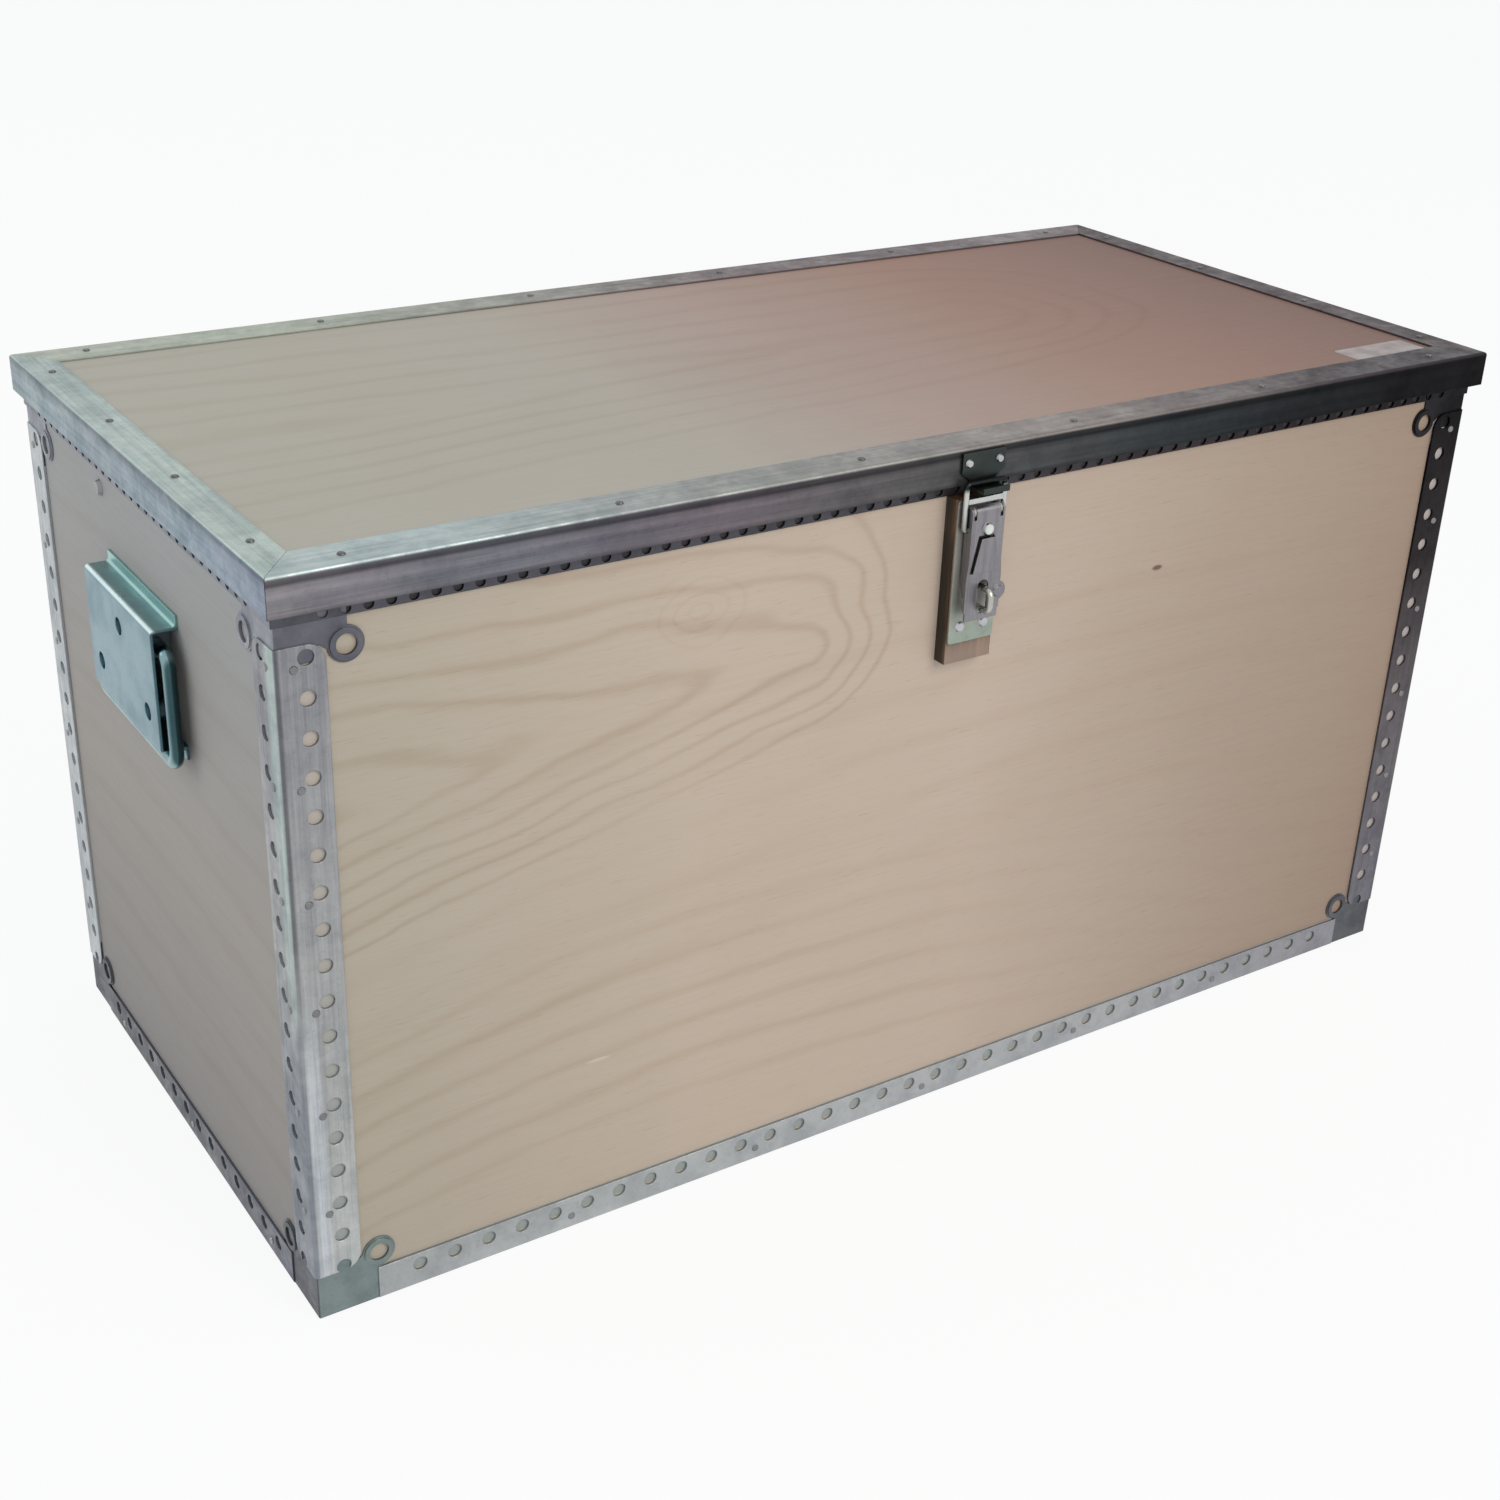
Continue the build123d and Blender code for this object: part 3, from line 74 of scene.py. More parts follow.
class Graph:
    """One material's nodes, written as short calls that return sockets."""

    def __init__(self, name):
        self.material = bpy.data.materials.new(name)
        self.material.use_nodes = True
        self.tree = self.material.node_tree
        self.tree.nodes.clear()
        self.output = self.tree.nodes.new("ShaderNodeOutputMaterial")
        self.place = add_node(self.tree, "ShaderNodeTexCoord").outputs["Object"]
        split = add_node(self.tree, "ShaderNodeSeparateXYZ", {0: self.place})
        self.axes = {"x": split.outputs[0], "y": split.outputs[1], "z": split.outputs[2]}

    def math(self, operation, a, b=0.0, c=0.0):
        """A math node's value."""
        return add_node(self.tree, "ShaderNodeMath", {0: a, 1: b, 2: c}, operation=operation).outputs[0]

    def times(self, *values):
        """The product of two or more values."""
        product = values[0]
        for value in values[1:]:
            product = self.math("MULTIPLY", product, value)
        return product

    def share(self, value, low, high):
        """How far a value is from low to high: 0 at low, 1 at high."""
        return self.math("DIVIDE", self.math("SUBTRACT", value, low), high - low)

    def vector(self, x, y, z=0.0):
        """A vector from two or three values."""
        return add_node(self.tree, "ShaderNodeCombineXYZ", {0: x, 1: y, 2: z}).outputs[0]

    def stretched(self, values, scales):
        """A place from two or three values, each with its own scale."""
        return self.vector(*(self.times(value, scale) for value, scale in zip(values, scales)))

    def noise(self, place, scale, detail=2.0, roughness=0.5, offset=0.0):
        """Noise from 0 to 1 at a place. offset takes it from another part of the pattern."""
        shifted = add_node(self.tree, "ShaderNodeVectorMath", {0: place, 1: (offset, offset, offset)})
        inputs = {"Vector": shifted.outputs[0], "Scale": scale, "Detail": detail, "Roughness": roughness}
        return add_node(self.tree, "ShaderNodeTexNoise", inputs).outputs[0]

    def ramp(self, value, stops):
        """A colour ramp. stops are (position, colour) pairs."""
        made = add_node(self.tree, "ShaderNodeValToRGB", {0: value})
        elements = made.color_ramp.elements
        while len(elements) < len(stops):
            elements.new(0.5)
        for element, (position, colour) in zip(elements, stops):
            element.position = position
            element.color = (*colour, 1.0)
        return made.outputs[0]

    def band(self, value, low, high):
        """0 up to low and 1 from high, smooth between. If low is above high, 1 up to high and 0 from low."""
        at_least, at_most = (0.0, 1.0) if low < high else (1.0, 0.0)
        inputs = {0: value, 1: min(low, high), 2: max(low, high), 3: at_least, 4: at_most}
        return add_node(self.tree, "ShaderNodeMapRange", inputs, interpolation_type="SMOOTHSTEP").outputs[0]

    def mix(self, factor, a, b, blend="MIX"):
        """A mix of two colours, each a socket or three numbers."""
        a, b = ((*colour, 1.0) if isinstance(colour, tuple) else colour for colour in (a, b))
        inputs = {0: factor, 6: a, 7: b}
        return add_node(self.tree, "ShaderNodeMix", inputs, data_type="RGBA", blend_type=blend).outputs[2]

    def dye(self, tone, amount, colour):
        """A tone multiplied by a colour, as far as amount says."""
        return self.mix(amount, tone, colour, "MULTIPLY")

    def bump(self, height, strength, distance, normal=None):
        """A bumped normal."""
        inputs = {"Height": height, "Strength": strength, "Distance": distance}
        if normal is not None:
            inputs["Normal"] = normal
        return add_node(self.tree, "ShaderNodeBump", inputs).outputs[0]

    def rounded(self, radius):
        """The normal of edges rounded by a small radius."""
        return add_node(self.tree, "ShaderNodeBevel", {"Radius": radius}, samples=4).outputs[0]

    def surface(self, **inputs):
        """The material, with its shader made from these inputs."""
        shader = add_node(self.tree, "ShaderNodeBsdfPrincipled", inputs)
        self.tree.links.new(shader.outputs[0], self.output.inputs[0])
        return self.material


def toned_along(axis, low, high, tones):
    """A tone that changes along an axis from one place to another. tones are (share, colour) pairs."""
    def tone(g):
        return g.ramp(g.share(g.axes[axis], low, high), tones)
    return tone


def ellipse(g, u, v, middle, radii, edge):
    """1 inside an ellipse on two axes, 0 outside, soft over a share of its radius."""
    across = g.math("DIVIDE", g.math("SUBTRACT", g.axes[u], middle[0]), radii[0])
    up = g.math("DIVIDE", g.math("SUBTRACT", g.axes[v], middle[1]), radii[1])
    far = g.math("SQRT", g.math("MULTIPLY_ADD", across, across, g.times(up, up)))
    return g.band(far, 1 + edge, 1 - edge)


# ------------------------------------------------------------------ growth lines of rotary-cut veneer

LINE_SHARPNESS = 5.0
DRIFT_SCALES, DRIFT_SIZE = (4.0, 9.0), 0.030
WAVER_SCALES, WAVER_SIZE = (16.0, 40.0), 0.008
TIP_ROUNDING = 0.010
TIP_STRETCH = 0.75
FINGER_FADE = (0.006, -0.004)
RING_STRETCH = 0.75
RING_FADE = 0.7
ARCH_LIMIT = 0.16
ARCH_FADE = 0.012
ARCH_END = (0.26, 0.08)


def thin_lines(g, far, pitch):
    """Narrow soft lines from 0 to 1, one for each pitch of a distance."""
    wave = g.math("SINE", g.times(far, 2 * math.pi / pitch))
    return g.math("POWER", g.math("MULTIPLY_ADD", wave, 0.5, 0.5), LINE_SHARPNESS)


def wavered(g, u, v, far, seed):
    """A distance with a slow drift and a small waver along the grain."""
    drift = g.noise(g.stretched((u, v), DRIFT_SCALES), 1.0, offset=seed)
    waver = g.noise(g.stretched((u, v), WAVER_SCALES), 1.0, offset=seed + 3)
    far = g.math("MULTIPLY_ADD", g.math("SUBTRACT", drift, 0.5), DRIFT_SIZE, far)
    return g.math("MULTIPLY_ADD", g.math("SUBTRACT", waver, 0.5), WAVER_SIZE, far)


def finger(tip, slope, opening, upper, pitch, reach, strength):
    """A set of growth lines: fingers nested about a sloping axis, which close near a tip.

    The fingers widen by opening away from the tip. upper is their spacing's share above the axis, and reach
    is how far from the axis they go.
    """
    def lines(g, u, v, seed):
        along = g.math("SUBTRACT", u, tip[0])
        aside = g.math("MULTIPLY_ADD", along, -slope, g.math("SUBTRACT", v, tip[1]))
        above = g.times(g.math("MAXIMUM", aside, 0.0), upper)
        aside = g.math("ADD", above, g.math("MINIMUM", aside, 0.0))
        ahead = g.times(g.math("MAXIMUM", along, 0.0), TIP_STRETCH)
        square = g.math("MULTIPLY_ADD", ahead, ahead, TIP_ROUNDING ** 2)
        far = g.math("SQRT", g.math("MULTIPLY_ADD", aside, aside, square))
        far = wavered(g, u, v, g.math("MULTIPLY_ADD", along, opening, far), seed)
        held = g.band(far, *(reach + fade for fade in FINGER_FADE))
        return g.times(thin_lines(g, far, pitch), held, strength)
    return lines


def rings(middle, pitch, reach, strength):
    """A set of growth lines: rings about a small swirl, a little longer than they are high."""
    def lines(g, u, v, seed):
        along = g.times(g.math("SUBTRACT", u, middle[0]), RING_STRETCH)
        aside = g.math("SUBTRACT", v, middle[1])
        far = g.math("SQRT", g.math("MULTIPLY_ADD", along, along, g.times(aside, aside)))
        held = g.band(far, reach, RING_FADE * reach)
        far = wavered(g, u, v, wavered(g, u, v, far, seed), seed + 9)
        return g.times(thin_lines(g, far, pitch), held, strength)
    return lines


def arches(middle, curve, pitch, low, high, strength):
    """A set of growth lines: low arches along the grain, from one height to another at their middle.

    They grow fainter to the right of it.
    """
    def lines(g, u, v, seed):
        along = g.math("SUBTRACT", u, middle)
        rise = g.math("MINIMUM", g.times(along, along, curve), g.times(g.math("ABSOLUTE", along), ARCH_LIMIT))
        far = wavered(g, u, v, g.math("ADD", v, rise), seed)
        held = g.times(g.band(far, low, low + ARCH_FADE), g.band(far, high, high - ARCH_FADE))
        fainter = g.band(u, *(middle + end for end in ARCH_END))
        held = g.times(held, g.math("MULTIPLY_ADD", fainter, 0.75, 0.25))
        return g.times(thin_lines(g, far, pitch), held, strength)
    return lines


# ------------------------------------------------------------------ plywood

GROWTH_DYE = (0.72, 0.61, 0.52)
CLOUD_DYE = (0.88, 0.84, 0.80)
FIBRE_DYE = (0.87, 0.84, 0.81)
PORE_DYE = (0.62, 0.53, 0.44)
SPECK_DYE = (0.76, 0.72, 0.67)
FIBRE_SCALES = (22.0, 900.0)
PORE_SCALES = (75.0, 1300.0)


def plywood(name, along, across, tones, tone_span, figures, seed):
    """The parts of a bare veneer's material, with its grain along one axis.

    tones are (share, colour) pairs along tone_span, which is (axis, low, high). figures are sets of growth
    lines.
    """
    g = Graph(name)
    u, v = g.axes[along], g.axes[across]
    tone = toned_along(*tone_span, tones)(g)
    cloud = g.noise(g.vector(u, v), 6.0, 3.0, 0.55, seed + 23)
    tone = g.dye(tone, g.times(g.band(cloud, 0.40, 0.72), 0.22), CLOUD_DYE)

    fades = g.noise(g.stretched((u, v), DRIFT_SCALES), 1.0, offset=seed + 7)
    patch = g.math("MULTIPLY_ADD", g.band(fades, 0.30, 0.62), 0.6, 0.4)
    for count, lines in enumerate(figures):
        tone = g.dye(tone, g.times(lines(g, u, v, seed + 31 * count), patch), GROWTH_DYE)

    # fibres, pores and a few grey specks
    fibre = g.noise(g.stretched((u, v), FIBRE_SCALES), 1.0, 3.0, 0.6, seed + 11)
    pores = g.band(g.noise(g.stretched((u, v), PORE_SCALES), 1.0, 1.0, 0.4, seed + 17), 0.68, 0.76)
    specks = g.band(g.noise(g.vector(u, v), 46.0, offset=seed + 29), 0.72, 0.82)
    tone = g.dye(tone, g.times(g.band(fibre, 0.35, 0.75), 0.26), FIBRE_DYE)
    tone = g.dye(tone, g.times(pores, 0.22), PORE_DYE)
    tone = g.dye(tone, g.times(specks, 0.15), SPECK_DYE)
    height = g.math("MULTIPLY_ADD", fibre, 0.6, g.times(pores, -0.8))
    rough = g.math("MULTIPLY_ADD", fibre, 0.16, 0.50)
    return g, tone, rough, g.bump(height, 0.25, 0.0003)


def finish_wood(g, tone, rough, normal):
    """A plywood material from its parts."""
    return g.surface(**{"Base Color": tone, "Roughness": rough, "Normal": normal, "Specular IOR Level": 0.35})


ANGLE_COVER = 0.025
BOTTOM_COVER = 0.0205
TRIM_COVER = 0.3868
COVER_EDGE = 0.001
STAIN_RISE = (0.05, 0.33)
RIGHT_SHARES = (0.90, 0.92)


def under_angles(g, tone, along, half_run, hole_tones):
    """Change the wood that shows through the holes of the angles and the top trim.

    In the angles it takes one tone low, another high and another at the right. In the trim's holes it takes a
    darker tone, which on the front is a painted shade under the lid's edge. hole_tones are its tones low and
    high in the angles, at the right, and in the trim.
    """
    low_tone, high_tone, right_tone, trim_tone = hole_tones
    u, z = g.axes[along], g.axes["z"]
    out = g.math("SUBTRACT", g.math("ABSOLUTE", u), half_run - ANGLE_COVER)
    upright = g.band(out, -COVER_EDGE, COVER_EDGE)
    covered = g.math("MAXIMUM", upright, g.band(z, BOTTOM_COVER + COVER_EDGE, BOTTOM_COVER))
    stained = g.mix(g.band(z, *STAIN_RISE), low_tone, high_tone)
    at_right = g.band(u, *(share * half_run for share in RIGHT_SHARES))
    stained = g.mix(at_right, stained, right_tone)
    tone = g.mix(covered, tone, stained)
    # the top trim's holes take the trim tone, on the front a painted shade under the lid's edge
    return g.mix(g.band(z, TRIM_COVER - COVER_EDGE, TRIM_COVER), tone, trim_tone)


# Lighter in the middle and darker towards both ends, most at the right: the wood's own tone, with painted
# shade where the light falls off. The back and bottom panels share these tones.
FRONT_TONES = [
    (0.03, (0.440, 0.390, 0.315)),
    (0.28, (0.530, 0.440, 0.358)),
    (0.52, (0.530, 0.430, 0.352)),
    (0.75, (0.410, 0.323, 0.256)),
    (0.97, (0.327, 0.240, 0.184)),
]
FRONT_FIGURES = [
    finger((-0.098, 0.316), slope=0.11, opening=0.115, upper=0.62, pitch=0.0105, reach=0.050, strength=0.38),
    rings((-0.166, 0.351), pitch=0.0075, reach=0.026, strength=0.15),
    arches(-0.130, curve=0.42, pitch=0.0210, low=0.060, high=0.200, strength=0.24),
    arches(0.080, curve=0.30, pitch=0.0340, low=0.150, high=0.330, strength=0.12),
]
# the last tone is a painted shade in the front top trim's holes, under the lid's edge
FRONT_HOLE_TONES = ((0.33, 0.36, 0.35), (0.47, 0.42, 0.37), (0.44, 0.39, 0.38), (0.050, 0.045, 0.048))
KNOT, KNOT_SIZE = (0.1434, 0.3163), (0.0036, 0.0015)
SCRATCH, SCRATCH_SIZE = (-0.223, 0.104), (0.0065, 0.0009)

g, tone, rough, normal = plywood("front_plywood", "x", "z", FRONT_TONES, PANEL_RUN, FRONT_FIGURES, 1.7)
knot = ellipse(g, "x", "z", KNOT, KNOT_SIZE, 0.4)
tone = g.mix(g.times(knot, 0.85), tone, (0.10, 0.055, 0.035))
scratch = ellipse(g, "x", "z", SCRATCH, SCRATCH_SIZE, 0.4)
tone = g.mix(g.times(scratch, 0.35), tone, (0.72, 0.66, 0.60))
tone = under_angles(g, tone, "x", BODY_X, FRONT_HOLE_TONES)
front_wood = finish_wood(g, tone, rough, normal)

SIDE_TONES = [(0.05, (0.290, 0.262, 0.250)), (0.50, (0.390, 0.344, 0.312)), (0.95, (0.385, 0.376, 0.372))]
SIDE_FIGURES = [arches(0.02, curve=0.25, pitch=0.034, low=0.05, high=0.36, strength=0.16)]
SIDE_HOLE_TONES = ((0.46, 0.47, 0.47), (0.48, 0.50, 0.49), (0.46, 0.47, 0.47), (0.21, 0.22, 0.245))
g, tone, rough, normal = plywood("side_plywood", "y", "z", SIDE_TONES, PANEL_RISE, SIDE_FIGURES, 8.3)
tone = under_angles(g, tone, "y", BODY_Y, SIDE_HOLE_TONES)
side_wood = finish_wood(g, tone, rough, normal)

BACK_FIGURES = [
    finger((0.10, 0.05), slope=-0.06, opening=0.06, upper=0.8, pitch=0.014, reach=0.080, strength=0.40),
    arches(-0.10, curve=0.30, pitch=0.024, low=0.20, high=0.37, strength=0.30),
]
back_wood = finish_wood(*plywood("back_plywood", "x", "z", FRONT_TONES, PANEL_RUN, BACK_FIGURES, 15.1))
floor_wood = finish_wood(*plywood("bottom_plywood", "x", "y", FRONT_TONES, PANEL_RUN, BACK_FIGURES, 40.3))

# Pale at the left and reddish-brown to the right: the lid's sheet is pinker at the right, and painted shade
# darkens it towards the right.
LID_TONES = [
    (0.03, (0.450, 0.425, 0.362)),
    (0.34, (0.440, 0.393, 0.336)),
    (0.50, (0.408, 0.305, 0.262)),
    (0.72, (0.325, 0.193, 0.146)),
    (0.97, (0.194, 0.106, 0.084)),
]
LID_FIGURES = [
    finger((0.16, 0.02), slope=0.04, opening=0.05, upper=0.8, pitch=0.022, reach=0.100, strength=0.22),
]
LID_UNDERSIDE = (0.4115, 0.4110)
g, tone, rough, normal = plywood("lid_plywood", "x", "y", LID_TONES, LID_PANEL_RUN, LID_FIGURES, 23.9)
# the underside has an even colour, without the top's reddish tone and painted shade
tone = g.mix(g.times(g.band(g.axes["z"], *LID_UNDERSIDE), 0.85), tone, (0.43, 0.365, 0.300))
lid_wood = finish_wood(g, tone, rough, normal)

PACKER_GRAIN_SCALES = (320.0, 520.0, 22.0)
PACKER_GRAIN_TONES = [
    (0.30, (0.045, 0.024, 0.012)),
    (0.52, (0.135, 0.070, 0.030)),
    (0.75, (0.26, 0.150, 0.070)),
]
PACKER_FOOT = (0.315, 0.296)
PACKER_SIDE = (0.0149, 0.0154)
PACKER_NEAR_PANEL = (-0.1905, -0.1865)
PACKER_SIDE_FOOT = (0.372, 0.352)


def packer_wood(name):
    """A softwood block with upright grain: orange-brown above and stained at its foot, with painted shade on
    its sides.
    """
    g = Graph(name)
    x, y, z = g.axes.values()
    grain = g.noise(g.stretched((x, y, z), PACKER_GRAIN_SCALES), 1.0, 3.0, 0.6, 2.0)
    stain = g.noise(g.place, 60.0, offset=5.0)
    tone = g.ramp(grain, PACKER_GRAIN_TONES)
    tone = g.dye(tone, g.times(g.band(stain, 0.45, 0.7), 0.5), (0.42, 0.36, 0.30))
    tone = g.mix(g.times(g.band(z, *PACKER_FOOT), 0.7), tone, (0.33, 0.245, 0.20))
    # painted shade on the sides: nearly black near the panel, and darker towards the foot
    side = g.band(g.math("ABSOLUTE", x), *PACKER_SIDE)
    tone = g.mix(g.times(side, g.band(y, *PACKER_NEAR_PANEL), 0.85), tone, (0.018, 0.014, 0.008))
    tone = g.dye(tone, g.times(side, g.band(z, *PACKER_SIDE_FOOT)), (0.50, 0.44, 0.34))
    return g.surface(**{"Base Color": tone, "Roughness": 0.62, "Normal": g.bump(grain, 0.35, 0.0004)})


block_wood = packer_wood("packer_softwood")

# ------------------------------------------------------------------ metals

CLOUDED_ZINC = (0.70, 0.72, 0.76)
SPECKED_ZINC = (0.72, 0.74, 0.76)
SPANGLED_ZINC = (0.72, 0.75, 0.78)
STREAKED_ZINC = (0.66, 0.66, 0.68)
RUBBED_ZINC = (0.60, 0.60, 0.63)
STREAK_SCALES = (26.0, 1500.0)
RUB_SCALES = (9.0, 330.0)


def steel(name, tone, brushed=None, rough=(0.34, 0.52), mottle=0.5, edge=0.0006, spangle=True):
    """Zinc-coated sheet: a dull mottled base with faint spangle, rubbed streaks and rounded bright edges.

    tone is a colour, or a function that makes one from the material's graph. brushed is the streaks' axis.
    """
    g = Graph(name)
    tone = tone(g) if callable(tone) else tone
    cloud = g.noise(g.place, 38.0, 3.0, 0.6, 3.1)
    height = g.noise(g.place, 520.0, 2.0, 0.6, 9.4)
    tone = g.dye(tone, g.times(g.band(cloud, 0.38, 0.68), mottle), CLOUDED_ZINC)
    tone = g.dye(tone, g.times(g.band(height, 0.50, 0.75), 0.35), SPECKED_ZINC)
    gloss = g.math("MULTIPLY_ADD", g.band(cloud, 0.3, 0.7), rough[1] - rough[0], rough[0])
    if spangle:
        inputs = {"Vector": g.place, "Scale": 240.0, "Randomness": 1.0}
        crystal = add_node(g.tree, "ShaderNodeTexVoronoi", inputs).outputs["Color"]
        shade = add_node(g.tree, "ShaderNodeSeparateColor", {0: crystal}).outputs[0]
        tone = g.dye(tone, g.times(shade, 0.20), SPANGLED_ZINC)
        gloss = g.math("MULTIPLY_ADD", shade, 0.10, gloss)
    if brushed:
        def streaked(scales, offset):
            """Noise drawn out along the brushed axis."""
            along, across = scales
            place = g.stretched(g.axes.values(), [along if axis == brushed else across for axis in g.axes])
            return g.noise(place, 1.0, 2.0, 0.6, offset)

        height = streaked(STREAK_SCALES, 13.0)
        tone = g.dye(tone, g.times(g.band(height, 0.40, 0.75), 0.40), STREAKED_ZINC)
        tone = g.dye(tone, g.times(g.band(streaked(RUB_SCALES, 17.0), 0.42, 0.70), 0.45), RUBBED_ZINC)
    normal = g.bump(height, 0.20, 0.0002, g.rounded(edge))
    return g.surface(**{"Base Color": tone, "Metallic": 1.0, "Roughness": gloss, "Normal": normal})


def plated(name, tone, **settings):
    """Smooth zinc plate: steel without the spangle."""
    return steel(name, tone, spangle=False, **settings)


# ------------------------------------------------------------------ angles, brackets and top trim

LEFT_ANGLE_TONES = [
    (0.00, (0.54, 0.56, 0.55)),
    (0.24, (0.50, 0.515, 0.50)),
    (0.78, (0.39, 0.393, 0.405)),
    (1.00, (0.33, 0.33, 0.35)),
]
LEFT_END_LEG, LEFT_END_LEG_NEAR = (-0.3862, -0.3872), (-0.170, -0.177)
LEFT_FRONT_LEG = (-0.1820, -0.1828)
LEFT_BEND, LEFT_BEND_WIDE = (-0.3838, -0.3858), (-0.3848, -0.3860)
PAST_LEFT_HOLES, OFF_LEFT_BEND = (-0.3760, -0.3800), (-0.3858, -0.3840)
UPPER_PART, LOWER_PART = (0.15, 0.24), (0.21, 0.12)


def left_angle_tone(g):
    """The left front angle's tone, with painted light about its bend: above, a painted highlight on the end
    leg and a painted dark reflection in the bend, and below, painted shade on the end leg and bend and a
    painted highlight beside the bend.
    """
    x, y, z = g.axes.values()
    above, below = g.band(z, *UPPER_PART), g.band(z, *LOWER_PART)
    end_leg = g.times(g.band(x, *LEFT_END_LEG), g.band(y, *LEFT_END_LEG_NEAR))
    front_leg = g.band(y, *LEFT_FRONT_LEG)
    bend_line = g.times(front_leg, g.band(x, *LEFT_BEND))
    beside_bend = g.times(front_leg, g.times(g.band(x, *PAST_LEFT_HOLES), g.band(x, *OFF_LEFT_BEND)))
    tone = toned_along(*ANGLE_RISE, LEFT_ANGLE_TONES)(g)
    # painted light: highlights and a dark reflection about the bend above, and shade on the end leg and bend
    # below
    tone = g.mix(g.times(end_leg, above, 0.8), tone, (0.50, 0.60, 0.57))
    tone = g.mix(g.times(bend_line, above, 0.75), tone, (0.10, 0.10, 0.115))
    end_and_bend = g.math("MAXIMUM", end_leg, g.band(x, *LEFT_BEND_WIDE))
    tone = g.mix(g.times(end_and_bend, below, 0.8), tone, (0.22, 0.245, 0.29))
    return g.mix(g.times(beside_bend, below, 0.7), tone, (0.66, 0.70, 0.74))


# painted shade on the front leg, to nearly black high up
RIGHT_ANGLE_TONES = [
    (0.00, (0.20, 0.195, 0.220)),
    (0.45, (0.140, 0.125, 0.132)),
    (0.72, (0.034, 0.027, 0.030)),
    (1.00, (0.005, 0.004, 0.005)),
]
RIGHT_END_LEG = (0.3862, 0.3873)


def right_angle_tone(g):
    """The right front angle's tone: painted shade on its front leg, darkening upwards to nearly black, and as
    the rest on its end leg.
    """
    tone = toned_along(*ANGLE_RISE, RIGHT_ANGLE_TONES)(g)
    return g.mix(g.times(g.band(g.axes["x"], *RIGHT_END_LEG), 0.9), tone, (0.27, 0.27, 0.285))


left_angle_steel = steel("left_angle_steel", left_angle_tone, brushed="z")
right_angle_steel = steel("right_angle_steel", right_angle_tone, brushed="z")
angle_steel = steel("angle_steel", (0.38, 0.385, 0.395), brushed="z")
back_left_steel = steel("back_left_angle_steel", (0.56, 0.59, 0.60), brushed="z")

BOTTOM_TONES = [
    (0.00, (0.36, 0.37, 0.38)),
    (0.15, (0.46, 0.48, 0.48)),
    (0.70, (0.42, 0.43, 0.44)),
    (1.00, (0.28, 0.27, 0.30)),
]
END_BOTTOM_TONES = [(0.0, (0.165, 0.170, 0.215)), (0.35, (0.138, 0.140, 0.160)), (1.0, (0.13, 0.13, 0.145))]
bottom_steel = steel("bottom_angle_steel", toned_along(*BODY_RUN, BOTTOM_TONES))
end_bottom_steel = steel("end_bottom_angle_steel", toned_along(*BODY_DEPTH, END_BOTTOM_TONES))

# Both bracket tones darken towards the right with painted shade, the top brackets' to nearly black.
BRACKET_TONES = [(0.0, (0.22, 0.27, 0.265)), (0.85, (0.20, 0.215, 0.215)), (1.0, (0.10, 0.10, 0.115))]
TOP_BRACKET_TONES = [(0.0, (0.155, 0.155, 0.18)), (0.5, (0.15, 0.15, 0.17)), (1.0, (0.007, 0.006, 0.007))]
BRACKET_END_LEG = (0.3858, 0.3865)


def bracket_tone(tones, amount, end_tone):
    """A corner bracket's tone: one along the box, mostly changed for another on its end leg."""
    def tone(g):
        end_leg = g.band(g.math("ABSOLUTE", g.axes["x"]), *BRACKET_END_LEG)
        return g.mix(g.times(end_leg, amount), toned_along(*BODY_RUN, tones)(g), end_tone)
    return tone


# the bottom brackets' end legs are darker: painted shade
bracket_steel = steel("bracket_steel", bracket_tone(BRACKET_TONES, 0.85, (0.085, 0.085, 0.105)), mottle=0.7)
top_bracket_steel = steel(
    "top_bracket_steel", bracket_tone(TOP_BRACKET_TONES, 0.8, (0.37, 0.385, 0.42)), mottle=0.7
)

# painted shade on the upright legs under the lid's edge, to nearly black at the right
TRIM_TONES = [
    (0.0, (0.100, 0.100, 0.118)),
    (0.4, (0.090, 0.086, 0.098)),
    (0.7, (0.045, 0.036, 0.040)),
    (1.0, (0.012, 0.010, 0.012)),
]
TRIM_LEVEL_LEG = (0.4016, 0.4026)


def trim_tone(g):
    """A top trim's tone: painted shade on its upright leg, under the lid's edge, and a paler tone on its
    level one.
    """
    upright = toned_along(*BODY_RUN, TRIM_TONES)(g)
    return g.mix(g.band(g.axes["z"], *TRIM_LEVEL_LEG), upright, (0.33, 0.34, 0.36))


trim_steel = steel("trim_steel", trim_tone)
end_trim_steel = steel("end_trim_steel", (0.27, 0.28, 0.31))

# ------------------------------------------------------------------ lid trim

BEND_LOW = 0.4112
FRONT_JOIN = (BEND_LOW, 0.4129)
END_JOIN = (0.4122, 0.4132)
# The front and back rims: a painted mint reflection at the left, and painted shade towards the right, to
# nearly black on the front.
RIM_TONES = [
    (0.00, (0.45, 0.53, 0.52)),
    (0.10, (0.445, 0.52, 0.52)),
    (0.29, (0.335, 0.350, 0.332)),
    (0.60, (0.275, 0.240, 0.225)),
    (0.85, (0.066, 0.053, 0.061)),
    (1.00, (0.035, 0.030, 0.036)),
]
BACK_RIM_TONES = [
    (0.00, (0.43, 0.47, 0.40)),
    (0.21, (0.415, 0.454, 0.383)),
    (0.57, (0.200, 0.168, 0.172)),
    (1.00, (0.18, 0.15, 0.155)),
]
